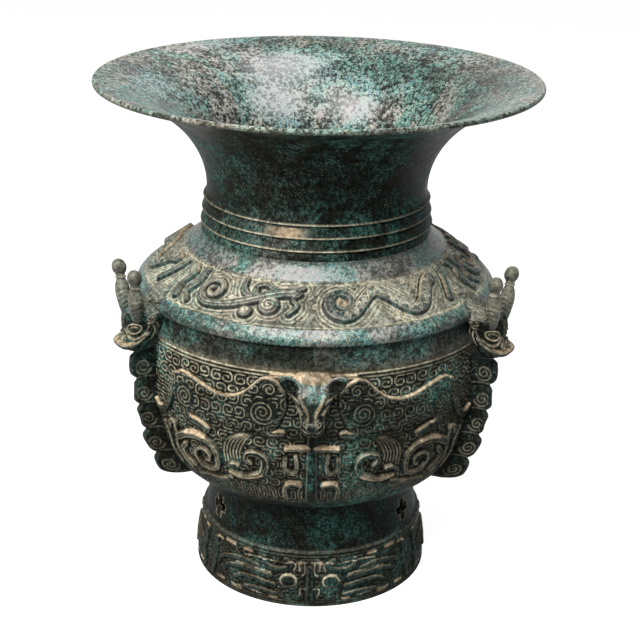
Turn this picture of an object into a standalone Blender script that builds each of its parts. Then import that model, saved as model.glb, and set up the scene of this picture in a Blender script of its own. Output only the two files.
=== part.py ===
"""A large bronze wine vessel of the zun form, made as tiers and ornaments that are cast apart and joined.

The foot ring carries the belly, the belly carries the shoulder and the shoulder carries the flared neck.
Horned heads, beast heads and flanges stand on that body three times round it, and each one is held by a
tang in a hole of the wall. The axis is Z, the vessel stands on z = 0, and a beast head faces -Y.
"""

from math import atan2, cos, hypot, pi, radians, sin, tau

import bmesh
import bpy
from mathutils import Matrix, Vector

# Driving dimensions, in metres.
FOOT_HEIGHT = 0.110
BELLY_HEIGHT = 0.190
SHOULDER_HEIGHT = 0.058
NECK_HEIGHT = 0.147

FOOT_BASE_RADIUS = 0.1193
FOOT_BAND_HEIGHT = 0.055
FOOT_BAND_TOP_RADIUS = 0.1132
FOOT_STEP = 0.003
FOOT_WAIST_RADIUS = 0.105
FOOT_COLLAR_HEIGHT = 0.018
FOOT_COLLAR_RADIUS = 0.1073
FOOT_WALL = 0.006
FOOT_EDGE_ROUND = 0.0015
CROSS_ARM = 0.022
CROSS_WIDTH = 0.008
CROSS_CENTRE_HEIGHT = 0.076

BELLY_RADIUS = 0.176
BELLY_BULGE_HEIGHT = 0.126
BELLY_TOP_DRAW_IN = 0.0045
BELLY_TOP_RADIUS = BELLY_RADIUS - BELLY_TOP_DRAW_IN
BELLY_WALL = 0.005

SHOULDER_OVERHANG = 0.005
SHOULDER_RADIUS = BELLY_TOP_RADIUS + SHOULDER_OVERHANG
SHOULDER_EDGE_HEIGHT = 0.006
SHOULDER_BAND_SET_BACK = 0.008
SHOULDER_BAND_LOW_RADIUS = SHOULDER_RADIUS - SHOULDER_BAND_SET_BACK
SHOULDER_BAND_LOW_HEIGHT = 0.0145
SHOULDER_BAND_HIGH_RADIUS = 0.128
SHOULDER_BAND_HIGH_HEIGHT = 0.0435
SHOULDER_WALL = 0.005

NECK_JOINT_RADIUS = 0.1125
NECK_WAIST_RADIUS = 0.1066
NECK_WAIST_HEIGHT = 0.042
NECK_WALL = 0.005
MOUTH_RADIUS = 0.212
LIP_THICKNESS = 0.0055
LIP_ROUND = 0.0012
RING_COUNT = 3
RING_FIRST_HEIGHT = 0.009
RING_PITCH = 0.012
RING_WIDTH = 0.0075
RING_RISE = 0.0024

SPIGOT_DEPTH = 0.008
SPIGOT_WALL = 0.004
TONGUE_HEIGHT = 0.006
SEAT_GAP = 0.0003

HORNED_HEAD_PROJECTION = 0.034
HORNED_HEAD_ROOT = 0.024
HORNED_HEAD_TOP_HEIGHT = 0.002
HORNED_HEAD_HEIGHT = 0.037
HORNED_HEAD_HALF_WIDTH = 0.0168
HORNED_HEAD_EYE_RADIUS = 0.0048
HORN_LENGTH = 0.051
HORN_RADIUS = 0.0078
HORN_FOOT_RADIUS = 0.005
HORN_CAP_RADIUS = 0.0074
HORN_SPACING = 0.025
HORN_SET_BACK = 0.0135
HORN_SPLAY = radians(5)
HORN_TENON_RADIUS = 0.0032
HORN_TENON_LENGTH = 0.008

BEAST_HEAD_PROJECTION = 0.026
BEAST_HEAD_TOP_DROP = 0.027
BEAST_HEAD_HEIGHT = 0.050
BEAST_HEAD_HALF_WIDTH = 0.019
BEAST_EAR_LENGTH = 0.011
BEAST_EAR_WIDTH = 0.0065
BEAST_EAR_LEAN = radians(35)

TANG_RADIUS = 0.004
RIVET_RADIUS = 0.0065
RIVET_THICKNESS = 0.003

FLANGE_DEPTH = 0.0225
FLANGE_THICKNESS = 0.011
FLANGE_EDGE_THICKNESS = 0.008
FLANGE_TOP_DROP = 0.040
FLANGE_BOTTOM_RISE = 0.014
FLANGE_LOBES = 5
FLANGE_NOTCH = 0.006
FLANGE_PEG_RADIUS = 0.003
FLANGE_PEG_INSET = 0.2

DRAGON_BODY_WIDTH = 0.0135
DRAGON_TAIL_WIDTH = 0.006
DRAGON_RELIEF = 0.0045
DRAGON_WAVE = 0.0125
DRAGON_COIL_RADIUS = 0.0145
SMALL_DRAGON_WIDTH = 0.0095
SMALL_DRAGON_RELIEF = 0.0032
SCROLL_RADIUS = 0.0175
SCROLL_WIDTH = 0.0085
HOOK_RADIUS = 0.0135
HOOK_WIDTH = 0.0085
BELLY_RELIEF = 0.004
FOOT_RELIEF = 0.0022
RELIEF_ROOT = 0.002

# Main forms of the relief. A station has its place round half a sector, its height and its width there, each as a
# share: of the half sector's arc, and of the height of the belly or of the foot's band.
BEAST_BODY = ((0.168, 0.695, 0.21), (0.25, 0.69, 0.27), (0.36, 0.653, 0.187), (0.5, 0.645, 0.16),
              (0.68, 0.668, 0.2), (0.755, 0.668, 0.1))
BEAST_TAIL = ((0.8, 0.735, 0.056), (0.835, 0.57, 0.054), (0.917, 0.513, 0.037))
BEAST_PAW = ((0.7, 0.522, 0.05), (0.64, 0.512, 0.05), (0.56, 0.492, 0.043))
BELLY_RIDGE = ((0, 0.553, 0.053), (0, 0.316, 0.063), (0, 0.142, 0.074))
FOOT_EYE = ((0.11, 0.49, 0.05), (0.172, 0.49, 0.23), (0.235, 0.49, 0.05))
FOOT_BROW = ((0.185, 0.873, 0.118), (0.2, 0.72, 0.118), (0.34, 0.69, 0.1), (0.386, 0.873, 0.09))
FOOT_HIGH_BODY = ((0.443, 0.655, 0.11), (0.65, 0.7, 0.11), (0.846, 0.455, 0.073))
FOOT_LOW_BODY = ((0.328, 0.527, 0.11), (0.53, 0.555, 0.11), (0.764, 0.38, 0.073))
FOOT_RIDGE = ((0, 0.145, 0.164), (0, 0.727, 0.127))

# Counts and layout round the axis. A sector runs from one flange to the next, with a beast head in its middle.
SECTORS = 3
SEGMENTS = 36
SECTOR_ANGLE = tau / SECTORS
CURVE_STEPS = 6
FACET_MIDDLE = cos(pi / SEGMENTS)

# Heights that follow from the tiers.
BELLY_BOTTOM_Z = FOOT_HEIGHT + SEAT_GAP
BELLY_TOP_Z = FOOT_HEIGHT + BELLY_HEIGHT
SHOULDER_BOTTOM_Z = BELLY_TOP_Z + SEAT_GAP
SHOULDER_TOP_Z = BELLY_TOP_Z + SHOULDER_HEIGHT
NECK_BOTTOM_Z = SHOULDER_TOP_Z + SEAT_GAP
RIM_Z = SHOULDER_TOP_Z + NECK_HEIGHT

SMOOTH_ANGLE = radians(40)


# General helpers

def clear_scene():
    for item in list(bpy.data.objects):
        bpy.data.objects.remove(item, do_unlink=True)


def aged_bronze(name, colour, roughness):
    """A bronze finish: dark metal that patina has dulled."""
    material = bpy.data.materials.new(name)
    material.use_nodes = True
    shader = material.node_tree.nodes["Principled BSDF"]
    shader.inputs["Base Color"].default_value = (*colour, 1.0)
    shader.inputs["Roughness"].default_value = roughness
    shader.inputs["Metallic"].default_value = 0.6
    return material


def add_object(name, shape, material=None, helper=False):
    """Puts a bmesh into the scene as a named object. A helper is a cutter or a relief that a Boolean uses."""
    bmesh.ops.remove_doubles(shape, verts=shape.verts, dist=1e-6)
    bmesh.ops.recalc_face_normals(shape, faces=shape.faces)
    mesh = bpy.data.meshes.new(name)
    shape.to_mesh(mesh)
    shape.free()
    mesh.shade_smooth()
    mesh.set_sharp_from_angle(angle=SMOOTH_ANGLE)
    item = bpy.data.objects.new(name, mesh)
    bpy.context.scene.collection.objects.link(item)
    if material:
        mesh.materials.append(material)
    if helper:
        item.hide_render = True
        item.display_type = "WIRE"
    return item


def combine(item, operation, *tools):
    for tool in tools:
        modifier = item.modifiers.new(tool.name, "BOOLEAN")
        modifier.operation = operation
        modifier.solver = "EXACT"
        modifier.use_self = tool.name.startswith("dragon")
        modifier.object = tool


def bezier(p0, p1, p2, p3, steps):
    """Points of a cubic curve in the plane, both ends included."""
    points = []
    for i in range(steps + 1):
        t = i / steps
        s = 1 - t
        weights = (s ** 3, 3 * s * s * t, 3 * s * t * t, t ** 3)
        points.append(tuple(sum(w * p[k] for w, p in zip(weights, (p0, p1, p2, p3))) for k in (0, 1)))
    return points


def offset_line(points, distance):
    """The line moved sideways, to the left of its direction, by a distance."""
    moved = []
    for i, (x, y) in enumerate(points):
        x0, y0 = points[max(i - 1, 0)]
        x1, y1 = points[min(i + 1, len(points) - 1)]
        length = hypot(x1 - x0, y1 - y0)
        moved.append((x - distance * (y1 - y0) / length, y + distance * (x1 - x0) / length))
    return moved


def line_at(points, height):
    """Radius and upward slope direction of an (r, z) line at a height."""
    for (r0, z0), (r1, z1) in zip(points, points[1:]):
        if z0 <= height <= z1 and z1 > z0:
            share = (height - z0) / (z1 - z0)
            return r0 + share * (r1 - r0), atan2(z1 - z0, r1 - r0)
    raise ValueError("the height is off the line")


def revolve(outline, segments=SEGMENTS):
    """A closed (r, z) outline spun about Z. The middle of a facet, not a corner, faces -Y."""
    shape = bmesh.new()
    ring = [shape.verts.new((r, 0, z)) for r, z in outline]
    closed = not (outline[0][0] < 1e-9 and outline[-1][0] < 1e-9)
    pairs = list(zip(ring, ring[1:])) + ([(ring[-1], ring[0])] if closed else [])
    edges = [shape.edges.new(pair) for pair in pairs]
    bmesh.ops.spin(shape, geom=ring + edges, cent=(0, 0, 0), axis=(0, 0, 1), angle=tau, steps=segments,
                   use_merge=True)
    bmesh.ops.remove_doubles(shape, verts=shape.verts, dist=1e-6)
    shape.transform(Matrix.Rotation(pi / segments, 4, "Z"))
    return shape


def loft(loops):
    """Skins a row of closed loops that have the same number of points, and caps both ends."""
    shape = bmesh.new()
    rings = [[shape.verts.new(point) for point in loop] for loop in loops]
    for low, high in zip(rings, rings[1:]):
        for i in range(len(low)):
            j = (i + 1) % len(low)
            shape.faces.new((low[i], low[j], high[j], high[i]))
    shape.faces.new(rings[0])
    shape.faces.new(reversed(rings[-1]))
    return shape


def cylinder(start, end, radius, segments=8):
    shape = bmesh.new()
    axis = Vector(end) - Vector(start)
    turn = axis.to_track_quat("Z", "Y").to_matrix().to_4x4()
    place = Matrix.Translation((Vector(start) + Vector(end)) / 2) @ turn
    bmesh.ops.create_cone(shape, cap_ends=True, segments=segments, radius1=radius, radius2=radius,
                          depth=axis.length, matrix=place)
    return shape


def ellipsoid(centre, radii, turn=Matrix.Identity(4), segments=8):
    shape = bmesh.new()
    scale = Matrix.Diagonal((*radii, 1))
    bmesh.ops.create_uvsphere(shape, u_segments=segments, v_segments=segments - 4, radius=1,
                              matrix=Matrix.Translation(centre) @ turn @ scale)
    return shape


def turned_to(azimuth):
    """Carries +X, the outward direction of a piece that is modelled at azimuth 0, to an azimuth from -Y."""
    return Matrix.Rotation(azimuth - pi / 2, 4, "Z")


def sector_azimuths(offset):
    """Azimuths about Z, from -Y towards +X, at which a piece stands once in each sector."""
    return [offset + i * SECTOR_ANGLE for i in range(SECTORS)]


SIDE_NAMES = ("right", "back", "left")
FACE_NAMES = ("front", "back_right", "back_left")


# Profiles of the tiers, as (radius, height) lines that run upwards on the outside

def foot_outside():
    base = (FOOT_BASE_RADIUS, FOOT_EDGE_ROUND)
    band_top = (FOOT_BAND_TOP_RADIUS, FOOT_BAND_HEIGHT)
    bow = (FOOT_BASE_RADIUS - 0.2 * (FOOT_BASE_RADIUS - FOOT_BAND_TOP_RADIUS), FOOT_BAND_HEIGHT / 2)
    cone_low = (FOOT_BAND_TOP_RADIUS - FOOT_STEP, FOOT_BAND_HEIGHT + FOOT_STEP / 2)
    cone_high = (FOOT_WAIST_RADIUS, FOOT_HEIGHT - FOOT_COLLAR_HEIGHT)
    middle = (FOOT_WAIST_RADIUS, (cone_low[1] + cone_high[1]) / 2)
    collar = (FOOT_COLLAR_RADIUS, cone_high[1] + FOOT_STEP)
    return [(FOOT_BASE_RADIUS - FOOT_EDGE_ROUND, 0), *bezier(base, bow, bow, band_top, 2),
            *bezier(cone_low, middle, middle, cone_high, 3), collar, (FOOT_COLLAR_RADIUS, FOOT_HEIGHT)]


def belly_outside():
    low = (FOOT_COLLAR_RADIUS, BELLY_BOTTOM_Z)
    bulge_z = FOOT_HEIGHT + BELLY_BULGE_HEIGHT
    bulge = (BELLY_RADIUS, bulge_z)
    top = (BELLY_TOP_RADIUS, BELLY_TOP_Z)
    spread = BELLY_RADIUS - FOOT_COLLAR_RADIUS
    lower = bezier(low, (FOOT_COLLAR_RADIUS + 0.52 * spread, BELLY_BOTTOM_Z),
                   (BELLY_RADIUS, BELLY_BOTTOM_Z + 0.4 * BELLY_BULGE_HEIGHT), bulge, CURVE_STEPS)
    upper = bezier(bulge, (BELLY_RADIUS, bulge_z + 0.4 * (BELLY_TOP_Z - bulge_z)),
                   (BELLY_TOP_RADIUS, bulge_z + 0.7 * (BELLY_TOP_Z - bulge_z)), top, 3)
    return lower + upper[1:]


def belly_inside():
    return offset_line(belly_outside(), BELLY_WALL)


def shoulder_outside():
    edge_z = SHOULDER_BOTTOM_Z + SHOULDER_EDGE_HEIGHT
    band_low = (SHOULDER_BAND_LOW_RADIUS, BELLY_TOP_Z + SHOULDER_BAND_LOW_HEIGHT)
    band_high = (SHOULDER_BAND_HIGH_RADIUS, BELLY_TOP_Z + SHOULDER_BAND_HIGH_HEIGHT)
    collar = (NECK_JOINT_RADIUS, SHOULDER_TOP_Z)
    slope = (band_high[1] - band_low[1]) / (band_high[0] - band_low[0])
    run = 0.5 * (NECK_JOINT_RADIUS - SHOULDER_BAND_HIGH_RADIUS)
    fillet = bezier(band_high, (band_high[0] + run, band_high[1] + run * slope),
                    (NECK_JOINT_RADIUS, collar[1] + 0.4 * (band_high[1] - collar[1])), collar, 2)
    return [(SHOULDER_RADIUS, SHOULDER_BOTTOM_Z), (SHOULDER_RADIUS, SHOULDER_BOTTOM_Z + SHOULDER_EDGE_HEIGHT / 3),
            (SHOULDER_RADIUS - SHOULDER_EDGE_HEIGHT / 4, edge_z), band_low, *fillet]


def ring_ridge(base_radius, height):
    """One raised ring of the neck: a ridge over a width."""
    half = RING_WIDTH / 2
    return [(base_radius, height - half), (base_radius + RING_RISE, height), (base_radius, height + half)]


def neck_rings():
    points = []
    for i in range(RING_COUNT):
        rise = RING_FIRST_HEIGHT + i * RING_PITCH
        share = rise / NECK_WAIST_HEIGHT
        base = NECK_JOINT_RADIUS - RING_RISE / 2 + share * (NECK_WAIST_RADIUS - NECK_JOINT_RADIUS + RING_RISE / 2)
        points += ring_ridge(base, SHOULDER_TOP_Z + rise)
    return points


def mouth_flare():
    waist_z = SHOULDER_TOP_Z + NECK_WAIST_HEIGHT
    lip_z = RIM_Z - LIP_THICKNESS
    spread = MOUTH_RADIUS - NECK_WAIST_RADIUS
    rise = lip_z - waist_z
    return bezier((NECK_WAIST_RADIUS, waist_z), (NECK_WAIST_RADIUS, waist_z + 0.46 * rise),
                  (NECK_WAIST_RADIUS + 0.4 * spread, waist_z + 0.9 * rise), (MOUTH_RADIUS, lip_z), CURVE_STEPS)


# Tiers

def make_foot_ring(material):
    """A tall hollow ring with a carved band below, a plain cone, and a collar that takes the belly's spigot."""
    outside = foot_outside()
    socket = FOOT_COLLAR_RADIUS - FOOT_WALL
    ledge_z = FOOT_HEIGHT - FOOT_COLLAR_HEIGHT
    inside = [(socket, FOOT_HEIGHT), (socket, ledge_z + FOOT_STEP),
              (FOOT_WAIST_RADIUS - FOOT_WALL, ledge_z - FOOT_STEP),
              (FOOT_BAND_TOP_RADIUS - FOOT_STEP - FOOT_WALL, FOOT_BAND_HEIGHT), (FOOT_BASE_RADIUS - FOOT_WALL, 0)]
    foot = add_object("foot_ring", revolve(outside + inside), material)
    for name, azimuth in zip(SIDE_NAMES, sector_azimuths(SECTOR_ANGLE / 2)):
        for arm, (width, height) in (("across", (CROSS_ARM, CROSS_WIDTH)), ("upright", (CROSS_WIDTH, CROSS_ARM))):
            shape = bmesh.new()
            bmesh.ops.create_cube(shape, size=1, matrix=Matrix.Diagonal((4 * FOOT_WALL, width, height, 1)))
            shape.transform(turned_to(azimuth) @ Matrix.Translation((FOOT_WAIST_RADIUS, 0, CROSS_CENTRE_HEIGHT)))
            combine(foot, "DIFFERENCE", add_object(f"cross_{arm}_{name}", shape, helper=True))
    half_arc = SECTOR_ANGLE / 2 * FOOT_BASE_RADIUS
    raise_forms(foot, foot_forms(half_arc), shares_of(FOOT_RIDGE, half_arc, FOOT_BAND_HEIGHT), FOOT_BASE_RADIUS, 0,
                FOOT_RELIEF, foot_skin)
    return foot


def make_belly(material):
    """The round bowl with its floor. A spigot under it centres the foot, and a tongue on top the shoulder."""
    outside = belly_outside()
    inside = list(reversed(belly_inside()))
    spigot_out = FOOT_COLLAR_RADIUS - FOOT_WALL - SEAT_GAP
    spigot_in = spigot_out - SPIGOT_WALL
    spigot_z = FOOT_HEIGHT - SPIGOT_DEPTH
    under = [(0, BELLY_BOTTOM_Z), (spigot_in, BELLY_BOTTOM_Z), (spigot_in, spigot_z), (spigot_out, spigot_z),
             (spigot_out, BELLY_BOTTOM_Z)]
    tongue_out = BELLY_TOP_RADIUS - BELLY_WALL / 2
    tongue = [(tongue_out, BELLY_TOP_Z), (tongue_out, BELLY_TOP_Z + TONGUE_HEIGHT),
              (BELLY_TOP_RADIUS - BELLY_WALL, BELLY_TOP_Z + TONGUE_HEIGHT)]
    floor = [(0, BELLY_BOTTOM_Z + BELLY_WALL)]
    belly = add_object("belly", revolve(under + outside + tongue + inside + floor), material)
    half_arc = SECTOR_ANGLE / 2 * BELLY_RADIUS
    raise_forms(belly, belly_forms(half_arc), shares_of(BELLY_RIDGE, half_arc, BELLY_HEIGHT), BELLY_RADIUS,
                FOOT_HEIGHT, BELLY_RELIEF, belly_skin)
    return belly


def make_shoulder(material):
    """The sloping ring between belly and neck, with a rebate over the belly's tongue and dragons in relief."""
    outside = shoulder_outside()
    inside = list(reversed(offset_line(outside[3:], SHOULDER_WALL)))
    inside[0] = (NECK_JOINT_RADIUS - SHOULDER_WALL, SHOULDER_TOP_Z)
    rebate = BELLY_TOP_RADIUS - BELLY_WALL / 2 + SEAT_GAP
    rebate_z = BELLY_TOP_Z + TONGUE_HEIGHT + SEAT_GAP
    foot = [(BELLY_TOP_RADIUS - BELLY_WALL, rebate_z), (rebate, rebate_z), (rebate, SHOULDER_BOTTOM_Z)]
    shoulder = add_object("shoulder", revolve(outside + inside + foot), material)
    for azimuth in sector_azimuths(0):
        combine(shoulder, "UNION", dragon_body(azimuth), small_dragon(azimuth))
    return shoulder


def make_mouth_and_neck(material):
    """The trumpet mouth with a thick lip, and the neck with its raised rings and the spigot under it."""
    flare = mouth_flare()
    outside = [(NECK_JOINT_RADIUS, NECK_BOTTOM_Z), *neck_rings(), *flare]
    lip = [(MOUTH_RADIUS, RIM_Z - LIP_ROUND), (MOUTH_RADIUS - LIP_ROUND, RIM_Z)]
    inside = list(reversed(offset_line(flare, NECK_WALL)))[1:]
    spigot_out = NECK_JOINT_RADIUS - SHOULDER_WALL - SEAT_GAP
    spigot_in = spigot_out - SPIGOT_WALL
    spigot_z = SHOULDER_TOP_Z - SPIGOT_DEPTH
    spigot = [(spigot_in, spigot_z), (spigot_out, spigot_z), (spigot_out, NECK_BOTTOM_Z)]
    return add_object("mouth_and_neck", revolve(outside + lip + inside + spigot), material)


# Relief that stands on the tiers

def shoulder_skin(arc, slant):
    """Place and outward normal on the shoulder's band, from a distance round its middle and one up its slope."""
    low = Vector((SHOULDER_BAND_LOW_RADIUS, BELLY_TOP_Z + SHOULDER_BAND_LOW_HEIGHT))
    high = Vector((SHOULDER_BAND_HIGH_RADIUS, BELLY_TOP_Z + SHOULDER_BAND_HIGH_HEIGHT))
    along = (high - low).normalized()
    radius, height = low + along * slant
    middle_radius = (low.x + high.x) / 2
    azimuth = arc / middle_radius
    outward = Vector((along.y, 0, -along.x))
    turn = turned_to(azimuth)
    return turn @ Vector((radius, 0, height)), turn.to_3x3() @ outward


def band_slant():
    return hypot(SHOULDER_BAND_LOW_RADIUS - SHOULDER_BAND_HIGH_RADIUS,
                 SHOULDER_BAND_HIGH_HEIGHT - SHOULDER_BAND_LOW_HEIGHT)


def band_arc(azimuth):
    return azimuth * (SHOULDER_BAND_LOW_RADIUS + SHOULDER_BAND_HIGH_RADIUS) / 2


def belly_skin(arc, height):
    """Place and outward normal on the belly, from a distance round its widest circle and a height."""
    radius, slope = line_at(belly_outside(), height)
    turn = turned_to(arc / BELLY_RADIUS)
    return turn @ Vector((radius, 0, height)), turn.to_3x3() @ Vector((sin(slope), 0, -cos(slope)))


def relief_bar(name, path, widths, rise, skin, crowned=True):
    """A low bar that follows a path over a curved wall, with its root sunk into the wall.

    A crowned bar is rounded on top, and any other is flat.
    """
    places = [skin(*point) for point in path]
    loops = []
    for i, (place, normal) in enumerate(places):
        ahead = places[min(i + 1, len(places) - 1)][0] - places[max(i - 1, 0)][0]
        across = normal.cross(ahead).normalized()
        half = widths[i] / 2
        edge = 0.8 * rise if crowned else rise
        crown = [(0, rise)] if crowned else []
        section = [(-half, -RELIEF_ROOT), (-0.75 * half, edge), *crown, (0.75 * half, edge), (half, -RELIEF_ROOT)]
        loops.append([place + across * x + normal * z for x, z in section])
    return add_object(name, loft(loops), helper=True)


def tapered(start, end, count):
    return [start + (end - start) * i / (count - 1) for i in range(count)]


def coil(centre, start_radius, end_radius, start_angle, turns, steps):
    """Points of a spiral in the plane of a wall. Positive turns run anticlockwise, seen from outside."""
    points = []
    for i in range(steps + 1):
        t = i / steps
        radius = start_radius + (end_radius - start_radius) * t
        angle = start_angle + turns * tau * t
        points.append((centre[0] + radius * cos(angle), centre[1] + radius * sin(angle)))
    return points


def dragon_body(azimuth):
    """A winding body that starts behind a horned head and ends in a coiled tail near the sector's middle."""
    middle = band_slant() / 2
    start = band_arc(azimuth + 0.82 * SECTOR_ANGLE / 2)
    end = band_arc(azimuth) + 1.7 * DRAGON_COIL_RADIUS
    steps = 9
    wave = []
    for i in range(steps):
        t = i / steps
        wave.append((start + (end - start) * t, middle - DRAGON_WAVE * cos(1.5 * tau * (t - 1))))
    low = middle - DRAGON_WAVE
    tail = coil((end, low + DRAGON_COIL_RADIUS), DRAGON_COIL_RADIUS, 0.3 * DRAGON_COIL_RADIUS, -pi / 2, -1.05, 7)
    path = wave + tail
    return relief_bar(f"dragon_body_{round(azimuth, 2)}", path,
                      tapered(DRAGON_BODY_WIDTH, DRAGON_TAIL_WIDTH, len(path)), DRAGON_RELIEF, shoulder_skin)


def small_dragon(azimuth):
    """A small dragon that fills the other half of a sector: a hooked spiral and a body that rises to a tail."""
    middle = band_slant() / 2
    start = band_arc(azimuth - 0.12 * SECTOR_ANGLE / 2)
    end = band_arc(azimuth - 0.64 * SECTOR_ANGLE / 2)
    steps = 5
    wave = []
    for i in range(steps):
        t = i / steps
        wave.append((start + (end - start) * t, middle - DRAGON_WAVE * cos(0.5 * tau * (t - 1))))
    low = middle - DRAGON_WAVE
    hook = coil((end, low + DRAGON_COIL_RADIUS), DRAGON_COIL_RADIUS, 0.35 * DRAGON_COIL_RADIUS, -pi / 2, -1.05, 6)
    path = wave + hook
    return relief_bar(f"small_dragon_{round(azimuth, 2)}", path,
                      tapered(SMALL_DRAGON_WIDTH, DRAGON_TAIL_WIDTH, len(path)), SMALL_DRAGON_RELIEF, shoulder_skin,
                      crowned=False)


def foot_skin(arc, height):
    """Place and outward normal on the foot's band, from a distance round its base and a height."""
    radius, slope = line_at(foot_outside(), height)
    turn = turned_to(arc / FOOT_BASE_RADIUS)
    return turn @ Vector((radius, 0, height)), turn.to_3x3() @ Vector((sin(slope), 0, -cos(slope)))


def shares_of(stations, half_arc, tall):
    """A path and its widths in metres, from stations that are given as shares."""
    path = [(x * half_arc, z * tall) for x, z, _ in stations]
    return path, [width * tall for _, _, width in stations]


def belly_forms(half_arc):
    """Paths and widths of the relief in half a sector: a striding beast above, a scroll and a hook below it."""
    scroll_middle = (0.597 * half_arc, 0.352 * BELLY_HEIGHT)
    scroll = [(scroll_middle[0] + 1.75 * SCROLL_RADIUS, scroll_middle[1] + 0.5 * SCROLL_RADIUS)]
    scroll += coil(scroll_middle, SCROLL_RADIUS, 0.7 * SCROLL_RADIUS, radians(60), 0.85, 5)
    hook_middle = (0.31 * half_arc, 0.358 * BELLY_HEIGHT)
    hook = coil(hook_middle, HOOK_RADIUS, 1.05 * HOOK_RADIUS, radians(60), 0.58, 4)
    hook.append((hook_middle[0] + 1.8 * HOOK_RADIUS, hook_middle[1] - 1.15 * HOOK_RADIUS))
    return {"beast_body": shares_of(BEAST_BODY, half_arc, BELLY_HEIGHT),
            "beast_tail": shares_of(BEAST_TAIL, half_arc, BELLY_HEIGHT),
            "beast_paw": shares_of(BEAST_PAW, half_arc, BELLY_HEIGHT),
            "belly_scroll": (scroll, tapered(SCROLL_WIDTH, 0.6 * SCROLL_WIDTH, len(scroll))),
            "belly_hook": (hook, tapered(HOOK_WIDTH, 0.6 * HOOK_WIDTH, len(hook)))}


def foot_forms(half_arc):
    """Paths and widths of the relief in half a sector of the foot's band: an eye, its brow and two long bodies."""
    return {"foot_eye": shares_of(FOOT_EYE, half_arc, FOOT_BAND_HEIGHT),
            "foot_brow": shares_of(FOOT_BROW, half_arc, FOOT_BAND_HEIGHT),
            "foot_high_body": shares_of(FOOT_HIGH_BODY, half_arc, FOOT_BAND_HEIGHT),
            "foot_low_body": shares_of(FOOT_LOW_BODY, half_arc, FOOT_BAND_HEIGHT)}


def raise_forms(tier, forms, ridge, radius, bottom_z, rise, skin):
    """Joins to a tier, in every sector, its forms on both sides of the middle and the ridge between them."""
    for azimuth in sector_azimuths(0):
        for side in (-1, 1):
            for name, (path, widths) in forms.items():
                placed = [(azimuth * radius + side * x, bottom_z + z) for x, z in path]
                combine(tier, "UNION", relief_bar(f"{name}_{side}_{round(azimuth, 2)}", placed, widths, rise, skin,
                                                  crowned=False))
        path, widths = ridge
        placed = [(azimuth * radius, bottom_z + z) for _, z in path]
        combine(tier, "UNION", relief_bar(f"{tier.name}_ridge_{round(azimuth, 2)}", placed, widths, rise, skin,
                                          crowned=False))


# Heads, horns and flanges, modelled with +X outward and then turned to their azimuth

def body_envelope():
    """The solid that the belly and the shoulder fill, grown by the seat gap: what stands on them is cut by it."""
    outside = offset_line(belly_outside() + shoulder_outside(), -SEAT_GAP)
    bottom = (0, outside[0][1])
    top = (0, outside[-1][1])
    return add_object("body_envelope", revolve([bottom, *outside, top]), helper=True)


def head_loop(back, front, half_width, height, squareness):
    """One level of a head: a rounded oblong between a back and a front radius."""
    middle = (back + front) / 2
    reach = (front - back) / 2
    points = []
    count = 10
    for i in range(count):
        angle = tau * i / count
        c, s = cos(angle), sin(angle)
        points.append((middle + reach * abs(c) ** squareness * (1 if c > 0 else -1),
                       half_width * abs(s) ** squareness * (1 if s > 0 else -1), height))
    return points


def rivet_tang(name, place, outward, wall, inner_length, azimuth):
    """A tang through the wall with a rivet head inside it. The place is on the wall's outer face."""
    outward = outward.normalized()
    shank = cylinder(place + outward * inner_length, place - outward * (wall + SEAT_GAP + RIVET_THICKNESS / 2),
                     TANG_RADIUS)
    shank.transform(turned_to(azimuth))
    inner_face = place - outward * (wall + 1.5 * SEAT_GAP)
    head = cylinder(inner_face, inner_face - outward * RIVET_THICKNESS, RIVET_RADIUS)
    head.transform(turned_to(azimuth))
    return add_object(f"{name}_shank", shank, helper=True), add_object(f"{name}_rivet", head, helper=True)


def tang_hole(name, place, outward, wall, azimuth):
    outward = outward.normalized()
    hole = cylinder(place + outward * wall, place - outward * 2 * wall, TANG_RADIUS + SEAT_GAP)
    hole.transform(turned_to(azimuth))
    return add_object(name, hole, helper=True)


def shoulder_seat():
    """Where a horned head's tang enters the shoulder, and the outward normal there."""
    low = Vector((SHOULDER_BAND_LOW_RADIUS, 0, BELLY_TOP_Z + SHOULDER_BAND_LOW_HEIGHT))
    high = Vector((SHOULDER_BAND_HIGH_RADIUS, 0, BELLY_TOP_Z + SHOULDER_BAND_HIGH_HEIGHT))
    along = (high - low).normalized()
    place = low + along * 1.1 * RIVET_RADIUS
    return Vector((place.x * FACET_MIDDLE, 0, place.z)), Vector((along.z, 0, -along.x))


def horn_axis(side):
    """Middle of a horn's seat, sunk just under the crown, and the direction that the horn leans in."""
    lean = Vector((0, side * sin(HORN_SPLAY), cos(HORN_SPLAY)))
    reach = SHOULDER_RADIUS + HORNED_HEAD_PROJECTION
    crown = Vector((reach - HORN_SET_BACK, side * HORN_SPACING / 2, BELLY_TOP_Z + HORNED_HEAD_TOP_HEIGHT))
    return crown - lean * (HORN_FOOT_RADIUS * sin(HORN_SPLAY) + SEAT_GAP), lean


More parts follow.
